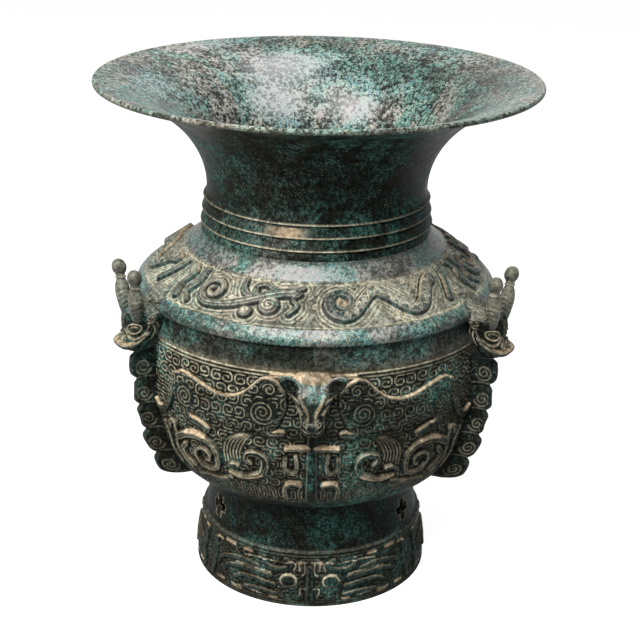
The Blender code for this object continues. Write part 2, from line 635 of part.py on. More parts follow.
def horned_head_loops():
    """Levels of a horned head from its neck, behind the horns, down over its crown to its chin.

    A level has a drop as a share of the height, how far its back has come from the root towards the chin, how far
    its front stands out as a share of the projection, and a width.
    """
    crown_z = BELLY_TOP_Z + HORNED_HEAD_TOP_HEIGHT
    root = SHOULDER_RADIUS - HORNED_HEAD_ROOT
    chin = SHOULDER_RADIUS + 0.4 * HORNED_HEAD_PROJECTION
    levels = ((-0.65, 0.0, 0.05, 0.6), (-0.02, 0.0, 0.22, 0.9), (0.0, 0.0, 0.85, 1.12), (0.2, 0.05, 0.86, 1.05),
              (0.5, 0.35, 0.82, 0.92), (0.78, 0.68, 1.0, 1.02), (0.92, 0.86, 1.0, 0.98),
              (1.0, 1.0, 0.84, 0.76))
    loops = []
    for drop, back, front, width in levels:
        loops.append(head_loop(root + back * (chin - root), SHOULDER_RADIUS + front * HORNED_HEAD_PROJECTION,
                               width * HORNED_HEAD_HALF_WIDTH, crown_z - drop * HORNED_HEAD_HEIGHT, 0.65))
    return loops


def make_horned_head(name, azimuth, shoulder, envelope, material):
    shape = loft(horned_head_loops())
    shape.transform(turned_to(azimuth))
    head = add_object(name, shape, material)
    combine(head, "DIFFERENCE", envelope)
    place, outward = shoulder_seat()
    combine(head, "UNION", *rivet_tang(name, place, outward, SHOULDER_WALL, 0.6 * TANG_RADIUS, azimuth))
    combine(shoulder, "DIFFERENCE", tang_hole(f"{name}_hole", place, outward, SHOULDER_WALL, azimuth))
    crown_z = BELLY_TOP_Z + HORNED_HEAD_TOP_HEIGHT
    for side in (-1, 1):
        eye = ellipsoid((SHOULDER_RADIUS + 0.72 * HORNED_HEAD_PROJECTION, side * 0.84 * HORNED_HEAD_HALF_WIDTH,
                         crown_z - 0.48 * HORNED_HEAD_HEIGHT),
                        (HORNED_HEAD_EYE_RADIUS * 1.3, HORNED_HEAD_EYE_RADIUS * 0.8, HORNED_HEAD_EYE_RADIUS))
        eye.transform(turned_to(azimuth))
        combine(head, "UNION", add_object(f"{name}_eye_{side}", eye, helper=True))
        foot, lean = horn_axis(side)
        seat = cylinder(foot, foot + lean * HORN_RADIUS, (HORN_FOOT_RADIUS + SEAT_GAP) / cos(pi / 8))
        seat.transform(turned_to(azimuth))
        socket = cylinder(foot + lean * HORN_TENON_RADIUS, foot - lean * (HORN_TENON_LENGTH + SEAT_GAP),
                          HORN_TENON_RADIUS + SEAT_GAP)
        socket.transform(turned_to(azimuth))
        combine(head, "DIFFERENCE", add_object(f"{name}_seat_{side}", seat, helper=True),
                add_object(f"{name}_socket_{side}", socket, helper=True))
    return head


def make_horn(name, azimuth, side, material):
    """A bottle-shaped horn: a swelling body, a ringed neck and a round cap, with a tenon under it."""
    body = bezier((HORN_FOOT_RADIUS, 0), (HORN_FOOT_RADIUS, 0.15 * HORN_LENGTH), (1.8 * HORN_RADIUS, 0.4 * HORN_LENGTH),
                  (HORN_FOOT_RADIUS, 0.62 * HORN_LENGTH), 3)
    ring = [(1.2 * HORN_FOOT_RADIUS, 0.66 * HORN_LENGTH), (HORN_FOOT_RADIUS, 0.7 * HORN_LENGTH)]
    cap = bezier((0.9 * HORN_CAP_RADIUS, 0.76 * HORN_LENGTH), (1.2 * HORN_CAP_RADIUS, 0.9 * HORN_LENGTH),
                 (0.6 * HORN_CAP_RADIUS, HORN_LENGTH), (0, HORN_LENGTH), 2)
    tenon = [(0, -HORN_TENON_LENGTH), (HORN_TENON_RADIUS, -HORN_TENON_LENGTH), (HORN_TENON_RADIUS, 0)]
    shape = revolve(tenon + body + ring + cap, segments=8)
    foot, lean = horn_axis(side)
    shape.transform(Matrix.Translation(foot + lean * SEAT_GAP) @ lean.to_track_quat("Z", "Y").to_matrix().to_4x4())
    shape.transform(turned_to(azimuth))
    return add_object(name, shape, material)


def beast_head_loops():
    """Levels of a beast head from its brow to its muzzle, each standing out from the belly's wall behind it."""
    crown_z = BELLY_TOP_Z - BEAST_HEAD_TOP_DROP
    outside = belly_outside()
    levels = ((0.0, 0.29, 0.8), (0.12, 0.47, 1.0), (0.4, 0.62, 0.95), (0.62, 0.81, 0.68), (0.82, 1.0, 0.6),
              (0.94, 0.93, 0.56), (1.0, 0.71, 0.42))
    loops = []
    for drop, front, width in levels:
        height = crown_z - drop * BEAST_HEAD_HEIGHT
        wall = line_at(outside, height)[0]
        loops.append(head_loop(wall - 2 * BELLY_WALL, wall + front * BEAST_HEAD_PROJECTION,
                               width * BEAST_HEAD_HALF_WIDTH, height, 0.75))
    return loops


def make_beast_head(name, azimuth, belly, envelope, material):
    """A head in high relief with two rounded ears, held by a tang in the belly's wall."""
    shape = loft(beast_head_loops())
    shape.transform(turned_to(azimuth))
    head = add_object(name, shape, material)
    crown_z = BELLY_TOP_Z - BEAST_HEAD_TOP_DROP
    ear_z = crown_z - 0.08 * BEAST_HEAD_HEIGHT
    ear_out = line_at(belly_outside(), ear_z)[0] + 0.32 * BEAST_HEAD_PROJECTION
    for side in (-1, 1):
        lean = Matrix.Rotation(-side * BEAST_EAR_LEAN, 4, "X")
        ear = ellipsoid((ear_out, side * 0.95 * BEAST_HEAD_HALF_WIDTH, ear_z),
                        (BEAST_EAR_WIDTH, BEAST_EAR_WIDTH, BEAST_EAR_LENGTH), lean)
        ear.transform(turned_to(azimuth))
        combine(head, "UNION", add_object(f"{name}_ear_{side}", ear, helper=True))
    combine(head, "DIFFERENCE", envelope)
    tang_z = crown_z - BEAST_HEAD_HEIGHT / 2
    place = Vector((line_at(belly_outside(), tang_z)[0] * FACET_MIDDLE, 0, tang_z))
    outward = Vector((1, 0, 0))
    inner = min(line_at(belly_inside(), tang_z + step)[0] for step in (-RIVET_RADIUS, RIVET_RADIUS))
    wall = place.x - inner * FACET_MIDDLE
    combine(head, "UNION", *rivet_tang(name, place, outward, wall, TANG_RADIUS, azimuth))
    combine(belly, "DIFFERENCE", tang_hole(f"{name}_hole", place, outward, wall, azimuth))
    return head


def flange_line(shares):
    """Points of the belly's outside that a flange follows, from its top end to its bottom end."""
    top = BELLY_TOP_Z - FLANGE_TOP_DROP
    bottom = FOOT_HEIGHT + FLANGE_BOTTOM_RISE
    outside = belly_outside()
    return [(line_at(outside, z)[0], z) for z in (top + (bottom - top) * share for share in shares)]


def flange_outline():
    """Side view of a flange: the belly's curve inside, and a row of round lobes with notches between outside."""
    per_lobe = 3
    count = FLANGE_LOBES * per_lobe
    shares = [i / count for i in range(count + 1)]
    root = flange_line(shares)
    edge = []
    for i, (r, z) in enumerate(root):
        across = (i % per_lobe) / per_lobe
        lobe = FLANGE_NOTCH * (1 - sin(pi * across) ** 0.6)
        depth = 0.4 * FLANGE_DEPTH if i == count else FLANGE_DEPTH - lobe
        edge.append((r + depth, z))
    sunk = [(r - BELLY_WALL, z) for r, z in root]
    return sunk, edge


def make_flange(name, azimuth, belly, envelope, material):
    """A lobed fin over a mould joint, with two pegs in the belly's wall."""
    sunk, edge = flange_outline()
    shape = bmesh.new()
    rows = []
    for side in (-1, 1):
        rows.append([shape.verts.new((r, side * FLANGE_THICKNESS / 2, z)) for r, z in sunk])
        rows.append([shape.verts.new((r, side * FLANGE_EDGE_THICKNESS / 2, z)) for r, z in edge])
    low_root, low_edge, high_root, high_edge = rows
    strips = ((low_root, low_edge), (low_edge, high_edge), (high_edge, high_root), (high_root, low_root))
    for one, other in strips:
        for i in range(len(one) - 1):
            shape.faces.new((one[i], one[i + 1], other[i + 1], other[i]))
    for end in (0, -1):
        shape.faces.new((low_root[end], low_edge[end], high_edge[end], high_root[end]))
    shape.transform(turned_to(azimuth))
    flange = add_object(name, shape, material)
    combine(flange, "DIFFERENCE", envelope)
    for i, share in enumerate((FLANGE_PEG_INSET, 1 - FLANGE_PEG_INSET)):
        (r, z), = flange_line([share])
        peg = cylinder((r + 2 * FLANGE_PEG_RADIUS, 0, z), (r - BELLY_WALL, 0, z), FLANGE_PEG_RADIUS)
        peg.transform(turned_to(azimuth))
        combine(flange, "UNION", add_object(f"{name}_peg_{i}", peg, helper=True))
        hole = cylinder((r + 2 * BELLY_WALL, 0, z), (r - 3 * BELLY_WALL, 0, z), FLANGE_PEG_RADIUS + SEAT_GAP)
        hole.transform(turned_to(azimuth))
        combine(belly, "DIFFERENCE", add_object(f"{name}_peg_hole_{i}", hole, helper=True))
    return flange


def main():
    clear_scene()
    dark_green = aged_bronze("patinated_bronze", (0.035, 0.055, 0.045), 0.55)
    pale_green = aged_bronze("worn_bronze", (0.11, 0.12, 0.085), 0.5)
    make_foot_ring(dark_green)
    belly = make_belly(dark_green)
    shoulder = make_shoulder(dark_green)
    make_mouth_and_neck(dark_green)
    envelope = body_envelope()
    for name, azimuth in zip(SIDE_NAMES, sector_azimuths(SECTOR_ANGLE / 2)):
        make_horned_head(f"horned_head_{name}", azimuth, shoulder, envelope, pale_green)
        for side, label in ((-1, "a"), (1, "b")):
            make_horn(f"horn_{name}_{label}", azimuth, side, pale_green)
        make_flange(f"flange_{name}", azimuth, belly, envelope, dark_green)
    for name, azimuth in zip(FACE_NAMES, sector_azimuths(0)):
        make_beast_head(f"beast_head_{name}", azimuth, belly, envelope, dark_green)


main()
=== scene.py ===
# %% [markdown]
# # A bronze zun with a wide mouth
# The vessel is a tall wine jar of cast bronze: a foot ring, a round belly, a sloping shoulder and a trumpet
# mouth, with heads and fins that were cast apart and fixed to the wall. The imported CAD model already holds
# every piece at its real size. This lesson dresses each of them with the relief, the edges and the green
# crust that a long burial leaves, and it never moves a CAD node.

import bpy
import numpy as np
from mathutils import Matrix


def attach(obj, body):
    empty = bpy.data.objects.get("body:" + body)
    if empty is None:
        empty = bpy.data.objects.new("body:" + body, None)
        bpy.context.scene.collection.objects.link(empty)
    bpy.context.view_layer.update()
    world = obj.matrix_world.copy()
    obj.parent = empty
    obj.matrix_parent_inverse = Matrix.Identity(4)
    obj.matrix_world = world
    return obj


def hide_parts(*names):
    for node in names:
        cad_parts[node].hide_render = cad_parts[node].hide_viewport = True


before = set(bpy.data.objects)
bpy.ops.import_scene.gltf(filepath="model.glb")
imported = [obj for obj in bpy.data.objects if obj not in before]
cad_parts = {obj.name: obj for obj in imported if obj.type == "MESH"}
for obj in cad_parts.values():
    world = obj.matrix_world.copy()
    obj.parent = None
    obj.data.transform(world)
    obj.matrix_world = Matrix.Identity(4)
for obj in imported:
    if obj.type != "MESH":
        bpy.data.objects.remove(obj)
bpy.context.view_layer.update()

# %% [markdown]
# ## The camera
# The photograph looks down on the vessel from in front, with a long lens from about a metre and a half. Its
# place was found by matching the circles of the mouth, the shoulder and the foot, which show the tilt as
# ovals. A camera could also be aimed with a Track To constraint, but the small roll is easier to give as
# three axes.

# %% Place the camera
EYE = np.array([0.0, -1.3488, 0.7833])
PITCH, ROLL, PAN = np.radians([21.265, 1.191, 0.233])
FOCAL_PIXELS, IMAGE_PIXELS, SENSOR_MM = 1443.1, 640, 36.0


def camera_axes(pitch, roll, pan):
    """Right, up and backward of a camera that looks along +Y, panned, then pitched down, then rolled."""
    right = np.array([np.cos(pan), -np.sin(pan), 0.0])
    level = np.array([np.sin(pan), np.cos(pan), 0.0])
    ahead = np.cos(pitch) * level - np.sin(pitch) * np.array([0.0, 0.0, 1.0])
    up = np.cross(right, ahead)
    rolled_right = np.cos(roll) * right + np.sin(roll) * up
    rolled_up = np.cos(roll) * up - np.sin(roll) * right
    return rolled_right, rolled_up, -ahead


def add_object(name, data):
    """An object that holds some data, linked into the scene."""
    item = bpy.data.objects.new(name, data)
    bpy.context.scene.collection.objects.link(item)
    return item


def stand(item, axes, place):
    """Sets an object's matrix, whose columns are its right, up and backward axes and its place."""
    matrix = np.eye(4)
    matrix[:3] = np.stack([*axes, place], axis=1)
    item.matrix_world = Matrix(matrix.tolist())


camera = add_object("camera", bpy.data.cameras.new("camera"))
camera.data.sensor_width = SENSOR_MM
camera.data.lens = SENSOR_MM * FOCAL_PIXELS / IMAGE_PIXELS
stand(camera, camera_axes(PITCH, ROLL, PAN), EYE)
bpy.context.scene.camera = camera
print("lens", round(camera.data.lens, 1), "mm")

# %% [markdown]
# ## Floor and light
# The picture has a bare white ground, so the floor is a wide pale sheet. It glows a little for rays that
# come from the camera or from a reflection, which lifts it to white while the shadow of the vessel stays on
# it. Inside the foot it doesn't glow, so the crosses stay dark. A soft box high in front is the main light,
# with weaker ones overhead, on both sides and behind, as in a plain studio.

# %% Node helpers
def fill_inputs(tree, node, inputs):
    """Gives each named input of a node a value, or a link if the value is another node's socket."""
    for name, value in inputs.items():
        if isinstance(value, bpy.types.NodeSocket):
            tree.links.new(value, node.inputs[name])
        else:
            node.inputs[name].default_value = value
    return node


def maths(tree, operation, one, other):
    """The output of a Math node on two sockets or numbers. Sums and differences are kept from 0 to 1."""
    node = tree.nodes.new("ShaderNodeMath")
    node.operation = operation
    node.use_clamp = operation in ("ADD", "SUBTRACT")
    return fill_inputs(tree, node, {0: one, 1: other}).outputs[0]


def seen_directly(tree):
    """A socket that is 1 for camera, glossy and transmission rays, and 0 for the rays that light things."""
    path = tree.nodes.new("ShaderNodeLightPath")
    seen = path.outputs["Is Camera Ray"]
    for kind in ("Is Glossy Ray", "Is Transmission Ray"):
        seen = maths(tree, "MAXIMUM", seen, path.outputs[kind])
    return seen


print("node helpers ready")

# %% Make the floor
FLOOR_SIZE, FLOOR_GLOW, FLOOR_GREY, FLOOR_ROUGHNESS = 24.0, 0.92, 0.34, 0.9
DARK_UNDER_FOOT, GLOW_EDGE = 0.117, 0.001
WHITE = (1, 1, 1, 1)


def floor_material():
    """White paper: a diffuse sheet plus a glow that only direct views receive, and none inside the foot."""
    material = bpy.data.materials.new("white_floor")
    material.use_nodes = True
    tree = material.node_tree
    place = tree.nodes.new("ShaderNodeTexCoord")
    away = tree.nodes.new("ShaderNodeVectorMath")
    away.operation = "LENGTH"
    fill_inputs(tree, away, {0: place.outputs["Object"]})
    level = fill_inputs(tree, tree.nodes.new("ShaderNodeMapRange"), {
        "Value": away.outputs["Value"], "From Min": DARK_UNDER_FOOT,
        "From Max": DARK_UNDER_FOOT + GLOW_EDGE, "To Max": FLOOR_GLOW})
    glow = maths(tree, "MULTIPLY", seen_directly(tree), level.outputs["Result"])
    fill_inputs(tree, tree.nodes["Principled BSDF"], {
        "Base Color": (FLOOR_GREY, FLOOR_GREY, FLOOR_GREY, 1), "Roughness": FLOOR_ROUGHNESS,
        "Specular IOR Level": 0.0, "Emission Color": WHITE, "Emission Strength": glow})
    return material


half = FLOOR_SIZE / 2
floor_corners = [(-half, -half, 0), (half, -half, 0), (half, half, 0), (-half, half, 0)]
floor_mesh = bpy.data.meshes.new("floor")
floor_mesh.from_pydata(floor_corners, [], [(0, 1, 2, 3)])
floor_mesh.materials.append(floor_material())
floor = add_object("floor", floor_mesh)
print("floor of", FLOOR_SIZE, "m")

# %% Backdrop and lamps
WORLD_LIGHT, WORLD_SEEN = 0.10, 1.0
VESSEL_MIDDLE, LAMP_LEVEL = np.array([0.0, 0.0, 0.28]), (0.3, 1.0, 0.1)

world = bpy.data.worlds.new("studio")
bpy.context.scene.world = world
world.use_nodes = True
sky = world.node_tree
brightness = fill_inputs(sky, sky.nodes.new("ShaderNodeMapRange"), {
    "Value": seen_directly(sky), "To Min": WORLD_LIGHT, "To Max": WORLD_SEEN})
fill_inputs(sky, sky.nodes["Background"], {"Color": WHITE, "Strength": brightness.outputs["Result"]})


def unit(vector):
    """A vector divided by its length."""
    return vector / np.linalg.norm(vector)


def soft_box(name, place, size, power, tint=(1, 1, 1)):
    """A square area lamp whose -Z axis points from its place to the middle of the vessel."""
    lamp = add_object(name, bpy.data.lights.new(name, "AREA"))
    lamp.data.size = size
    lamp.data.energy = power
    lamp.data.color = tint
    back = unit(np.array(place) - VESSEL_MIDDLE)
    side = unit(np.cross(LAMP_LEVEL, back))
    stand(lamp, (side, np.cross(back, side), back), place)


soft_box("key_box", (-0.45, -1.45, 2.0), 1.0, 60)
soft_box("overhead_box", (-0.1, 0.2, 2.4), 1.5, 15)
soft_box("left_box", (-2.0, -1.0, 1.2), 1.1, 22, (1.0, 0.95, 0.86))
soft_box("right_fill", (2.2, -1.2, 1.0), 1.4, 2.5, (0.9, 0.96, 1.0))
soft_box("back_fill", (0.5, 2.4, 1.3), 1.6, 12)
bpy.context.scene.view_settings.view_transform = "Standard"

# %% [markdown]
# ## Meshes from arrays
# Every piece below is a grid of points that numpy works out in one go. One helper puts such arrays into a
# mesh. It could call from_pydata, but foreach_set takes whole arrays and is quicker on large grids. Numbers
# that change from point to point, such as how much soil lies in a groove, ride along as named point
# attributes.

# %% Mesh helper
TAU = 2 * np.pi


def grid_quads(rows, columns, start=0, wrap_columns=False, wrap_rows=False):
    """Corner numbers of the quads of a grid whose points are stored row by row, columns running first."""
    r = np.arange(rows if wrap_rows else rows - 1)[:, None]
    c = np.arange(columns if wrap_columns else columns - 1)[None, :]
    r1, c1 = (r + 1) % rows, (c + 1) % columns
    corners = [r * columns + c, r * columns + c1, r1 * columns + c1, r1 * columns + c]
    return start + np.stack(np.broadcast_arrays(*corners), axis=-1).reshape(-1, 4)


def end_caps(rows, columns):
    """Corner numbers of the two faces that close a tube made by grid_quads, both facing outwards."""
    ring = np.arange(columns)
    return ring[::-1], (rows - 1) * columns + ring


def strip(one, other):
    """Quads between two rows of corner numbers: one[i], one[i + 1], other[i + 1], other[i]."""
    return np.stack([one[:-1], one[1:], other[1:], other[:-1]], 1)


def build_piece(name, points, quads, material, caps=(), marks=None, second=None):
    """A smooth-shaded object from points (n, 3), quads (m, 4) and a few flat caps, with point attributes.

    A second finish, if given, is a material and a true or false for each quad.
    """
    mesh = bpy.data.meshes.new(name)
    points = np.asarray(points, np.float32).reshape(-1, 3)
    sizes = np.concatenate([np.full(len(quads), 4), [len(cap) for cap in caps]]).astype(np.int32)
    corners = np.concatenate([np.ravel(quads), *caps]).astype(np.int32)
    mesh.vertices.add(len(points))
    mesh.vertices.foreach_set("co", points.ravel())
    mesh.loops.add(len(corners))
    mesh.loops.foreach_set("vertex_index", corners)
    mesh.polygons.add(len(sizes))
    mesh.polygons.foreach_set("loop_start", (np.cumsum(sizes) - sizes).astype(np.int32))
    mesh.polygons.foreach_set("use_smooth", np.arange(len(sizes)) < len(quads))
    mesh.update(calc_edges=True)
    for mark, values in (marks or {}).items():
        layer = mesh.attributes.new(mark, "FLOAT", "POINT")
        layer.data.foreach_set("value", np.asarray(values, np.float32).ravel())
    mesh.materials.append(material)
    if second:
        mesh.materials.append(second[0])
        mesh.polygons.foreach_set("material_index", second[1].astype(np.int32))
    return add_object(name, mesh)


def place_piece(piece, node):
    """The piece rides on the vessel's one body and stands for a CAD node, which it hides."""
    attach(piece, "root")
    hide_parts(node)
    print(f"{piece.name}: {len(piece.data.vertices)} points, {len(piece.data.polygons)} faces")


print("a grid of 3 by 4 points has", len(grid_quads(3, 4)), "quads")

# %% [markdown]
# ## The finish: buried bronze
# Bronze that has lain in the ground turns black-green, with brighter teal crust in patches, a pale bloom
# where dust settles, and tan soil that stays in every groove and on every ledge. Where the dust mark runs
# high, the bloom turns into a pale painted highlight, the sheen of the lamps painted into the colour, and
# the soil mark also carries painted light and shade in places. An image texture could hold this, but noise
# on the object's own coordinates works at any distance. The shared parts are one node group. It puts out
# colour, roughness and height, and each material sets how much teal and speckle it wants, how far it is
# polished, and how closely the bloom covers it.

# %% Patina node group
GROUP_VALUES = {"Soil": 0.0, "Ledge": 0.0, "Dust": 0.0, "Crest": 0.0, "Teal": 0.5, "Speckle": 0.5,
                "Polish": 0.0, "Cover": 0.3}
PIT_BLACK, OLIVE_BLACK, TEAL_BLACK = (0.003, 0.004, 0.0035), (0.021, 0.020, 0.013), (0.012, 0.026, 0.025)
CRUST_DARK, CRUST_LIGHT, SPECKLE_PALE = (0.010, 0.048, 0.042), (0.085, 0.26, 0.22), (0.38, 0.41, 0.28)
BLOOM_GREY, BLOOM_GREEN, BLOOM_BLUE = (0.38, 0.37, 0.36), (0.12, 0.33, 0.31), (0.16, 0.31, 0.33)
BLOOM_CREAM, HIGHLIGHT_PALE, WORN_EDGE = (0.62, 0.59, 0.42), (0.56, 0.52, 0.53), (0.060, 0.078, 0.068)
SOIL_DARK, SOIL_LIGHT = (0.26, 0.235, 0.155), (0.82, 0.75, 0.56)
CLAY_DARK, CLAY_LIGHT = (0.45, 0.33, 0.20), (0.82, 0.66, 0.46)


def patina_group():
    """Black-green bronze, with teal, speckle, dust and a pale painted highlight, wear and soil over it in
    turn, by noise of five sizes.
    """
    group = bpy.data.node_groups.new("buried_bronze_patina", "ShaderNodeTree")
    group.interface.new_socket("Place", in_out="INPUT", socket_type="NodeSocketVector")
    for name, value in GROUP_VALUES.items():
        group.interface.new_socket(name, in_out="INPUT", socket_type="NodeSocketFloat").default_value = value
    for name, kind in (("Color", "Color"), ("Roughness", "Float"), ("Height", "Float")):
        group.interface.new_socket(name, in_out="OUTPUT", socket_type="NodeSocket" + kind)
    given = group.nodes.new("NodeGroupInput").outputs

    def noise(scale, detail, roughness, distortion=0.0):
        """Noise on the object's own coordinates."""
        return fill_inputs(group, group.nodes.new("ShaderNodeTexNoise"), {
            "Vector": given["Place"], "Scale": scale, "Detail": detail, "Roughness": roughness,
            "Distortion": distortion}).outputs["Fac"]

    def fade(value, low, high, to_low=0.0, to_high=1.0):
        """A smooth step between two values of a socket."""
        node = group.nodes.new("ShaderNodeMapRange")
        node.interpolation_type = "SMOOTHSTEP"
        return fill_inputs(group, node, {"Value": value, "From Min": low, "From Max": high,
                                         "To Min": to_low, "To Max": to_high}).outputs["Result"]

    def times(one, other):
        """Product of two sockets or numbers."""
        return maths(group, "MULTIPLY", one, other)

    def plus(one, other):
        """Sum of two sockets or numbers, kept from 0 to 1."""
        return maths(group, "ADD", one, other)

    def blend(share, below, above):
        """One colour over another by a share."""
        node = group.nodes.new("ShaderNodeMix")
        node.data_type = "RGBA"
        below, above = ((*value, 1.0) if isinstance(value, tuple) else value for value in (below, above))
        return fill_inputs(group, node, {"Factor": share, 6: below, 7: above}).outputs[2]

    broad, middle = noise(9, 5, 0.6, 0.5), noise(46, 6, 0.68, 0.4)
    patch, fine, grain = noise(22, 4, 0.6, 0.6), noise(260, 4, 0.7), noise(620, 3, 0.7)
    speck = plus(times(fine, 0.55), times(grain, 0.45))
    mottle = plus(times(middle, 0.45), times(fine, 0.55))

    tone = blend(fade(middle, 0.42, 0.58), OLIVE_BLACK, TEAL_BLACK)
    surface = blend(fade(fine, 0.40, 0.66), PIT_BLACK, tone)
    crust_share = times(times(fade(broad, 0.44, 0.62), fade(middle, 0.40, 0.62)), given["Teal"])
    crust_share = times(crust_share, fade(speck, 0.42, 0.56, 0.35, 1.0))
    surface = blend(crust_share, surface, blend(fade(fine, 0.38, 0.66), CRUST_DARK, CRUST_LIGHT))
    dots = times(times(fade(grain, 0.55, 0.68), fade(middle, 0.42, 0.62)), given["Speckle"])
    surface = blend(dots, surface, SPECKLE_PALE)

    # Dust past 0.9 turns the bloom into a pale painted highlight, with fewer pits in it.
    pale = fade(given["Dust"], 0.9, 1.9, 0.0, 0.85)
    bloom = blend(fade(patch, 0.42, 0.58), BLOOM_GREY, BLOOM_GREEN)
    bloom = blend(fade(broad, 0.50, 0.66), bloom, BLOOM_BLUE)
    bloom = blend(fade(grain, 0.51, 0.63), bloom, BLOOM_CREAM)
    bloom = blend(pale, bloom, HIGHLIGHT_PALE)
    bloom_share = times(given["Dust"], fade(mottle, 0.42, 0.58, given["Cover"]))
    bloom_share = maths(group, "MAXIMUM", bloom_share, pale)
    pits = times(fade(speck, 0.42, 0.55, 1.0, 0.0), given["Speckle"])
    pits = times(pits, fade(given["Dust"], 0.8, 1.6, 1.0, 0.2))
    bloom_share = times(bloom_share, maths(group, "SUBTRACT", 1.0, pits))
    surface = blend(bloom_share, surface, bloom)

    worn = times(given["Crest"], fade(fine, 0.38, 0.62, 0.1, 0.8))
    surface = blend(worn, surface, WORN_EDGE)
    # The soil share also carries painted light and shade, where a piece's marks add or take away soil for it.
    soil_share = times(given["Soil"], fade(middle, 0.32, 0.58, 0.4, 1.0))
    surface = blend(soil_share, surface, blend(fade(fine, 0.34, 0.62), SOIL_DARK, SOIL_LIGHT))
    ledge_share = times(given["Ledge"], fade(middle, 0.40, 0.58, 0.35, 1.0))
    surface = blend(ledge_share, surface, blend(fade(fine, 0.36, 0.64), CLAY_DARK, CLAY_LIGHT))

    earth = maths(group, "MAXIMUM", soil_share, ledge_share)
    rough = plus(fade(middle, 0.3, 0.7, 0.38, 0.56), times(earth, 0.35))
    rough = plus(rough, times(crust_share, 0.12))
    rough = maths(group, "SUBTRACT", rough, given["Polish"])
    height = plus(plus(times(fine, 0.5), times(grain, 0.3)), times(middle, 0.2))
    fill_inputs(group, group.nodes.new("NodeGroupOutput"), {
        "Color": surface, "Roughness": rough, "Height": height})
    return group


patina = patina_group()
print("patina group with", len(patina.nodes), "nodes")

# %% Bronze materials
BUMP_DISTANCE = 0.0008
MARKS = ("soil", "ledge", "dust", "crest")


def bronze(name, teal, speckle, gloss=0.03, polish=0.0, bump=0.7, cover=0.3):
    """A bronze finish. How much soil, dust and wear there is comes from the piece's own point marks, which
    also carry painted light, shade and highlights.
    """
    material = bpy.data.materials.new(name)
    material.use_nodes = True
    tree = material.node_tree
    place = tree.nodes.new("ShaderNodeTexCoord")
    coat = tree.nodes.new("ShaderNodeGroup")
    coat.node_tree = patina
    fill_inputs(tree, coat, {"Place": place.outputs["Object"], "Teal": teal, "Speckle": speckle,
                             "Polish": polish, "Cover": cover})
    for mark in MARKS:
        reader = tree.nodes.new("ShaderNodeAttribute")
        reader.attribute_name = mark
        fill_inputs(tree, coat, {mark.capitalize(): reader.outputs["Fac"]})
    relief = fill_inputs(tree, tree.nodes.new("ShaderNodeBump"), {
        "Distance": BUMP_DISTANCE, "Strength": bump, "Height": coat.outputs["Height"]})
    fill_inputs(tree, tree.nodes["Principled BSDF"], {
        "Metallic": 0.0, "Specular IOR Level": gloss, "Base Color": coat.outputs["Color"],
        "Roughness": coat.outputs["Roughness"], "Normal": relief.outputs["Normal"]})
    return material


neck_bronze = bronze("neck_bronze", 0.75, 0.7)
mouth_bronze = bronze("mouth_bronze", 1.0, 0.95, gloss=0.06, polish=0.06, bump=1.0, cover=0.15)
shoulder_bronze = bronze("shoulder_bronze", 0.7, 0.45, gloss=0.15, polish=0.06, bump=0.8)
belly_bronze = bronze("belly_bronze", 1.0, 0.5)
foot_bronze = bronze("foot_bronze", 0.5, 0.3)
head_bronze = bronze("head_bronze", 0.3, 0.6)
horn_bronze = bronze("horn_bronze", 0.5, 0.6, gloss=0.3, polish=0.12, bump=0.8)
print("materials", [m.name for m in bpy.data.materials if m.name.endswith("bronze")])

# %% [markdown]
# ## Lines and curves
# The walls follow a few smooth profiles, and the ornament is drawn with strokes. Both are rows of points in
# a plane. A Bezier gives the broad swells, a curve through chosen points gives a drawn line, and a spiral
# is a circle whose radius shrinks as it turns. All of them return arrays, so they can be joined end to end.

# %% Curve helpers
MM = 0.001
STEPS_PER_TURN = 22


def bezier(p0, p1, p2, p3, count=60):
    """Cubic curve: (1-t)^3 p0 + 3 (1-t)^2 t p1 + 3 (1-t) t^2 p2 + t^3 p3 for t from 0 to 1."""
    t = np.linspace(0, 1, count)[:, None]
    p0, p1, p2, p3 = (np.asarray(p, float) for p in (p0, p1, p2, p3))
    return (1 - t) ** 3 * p0 + 3 * (1 - t) ** 2 * t * p1 + 3 * (1 - t) * t ** 2 * p2 + t ** 3 * p3


def drawn(points, steps=8, closed=False):
    """A smooth line through points in millimetres: between two of them it is a cubic that also heeds the
    neighbours on both sides."""
    p = np.asarray(points, float) * MM
    if closed:
        p = np.vstack([p[-1], p, p[0], p[1]])
    else:
        p = np.vstack([2 * p[0] - p[1], p, 2 * p[-1] - p[-2]])
    a, b, c, d = (p[i:len(p) - 3 + i, None, :] for i in range(4))
    t = np.linspace(0, 1, steps, endpoint=False)[None, :, None]
    q = 0.5 * (2 * b + (c - a) * t + (2 * a - 5 * b + 4 * c - d) * t ** 2 + (3 * b - a - 3 * c + d) * t ** 3)
    q = q.reshape(-1, p.shape[1])
    return q if closed else np.vstack([q, p[-2]])


def ring_of(line):
    """A closed line with its first point repeated at its end."""
    return np.vstack([line, line[:1]])


def spiral(centre, outer, inner, turns, start_degrees):
    """Radius from outer to inner in even steps while the angle turns from a start. Lengths in millimetres."""
    t = np.linspace(0, 1, int(STEPS_PER_TURN * abs(turns)) + 3)
    radius = outer + (inner - outer) * t
    angle = np.radians(start_degrees) + turns * TAU * t
    return (np.asarray(centre, float) + radius[:, None] * np.stack([np.cos(angle), np.sin(angle)], 1)) * MM


def square_spiral(width, height, pitch, hand):
    """A squared spiral round the origin: each run is shorter than the last but one by the pitch."""
    heading = np.array([[1, 0], [0, 1], [-1, 0], [0, -1]])
    count = 2 * int(min(width, height) / pitch) + 2
    runs = np.arange(count)
    length = np.where(runs % 2 == 0, width, height) - pitch * np.maximum((runs - 1) // 2, 0)
    steps = heading[runs % 4] * np.maximum(length, 0.3 * pitch)[:, None]
    corners = np.vstack([[-width / 2, -height / 2], [-width / 2, -height / 2] + np.cumsum(steps, 0)])
    corners[:, 0] *= hand
    return corners * MM


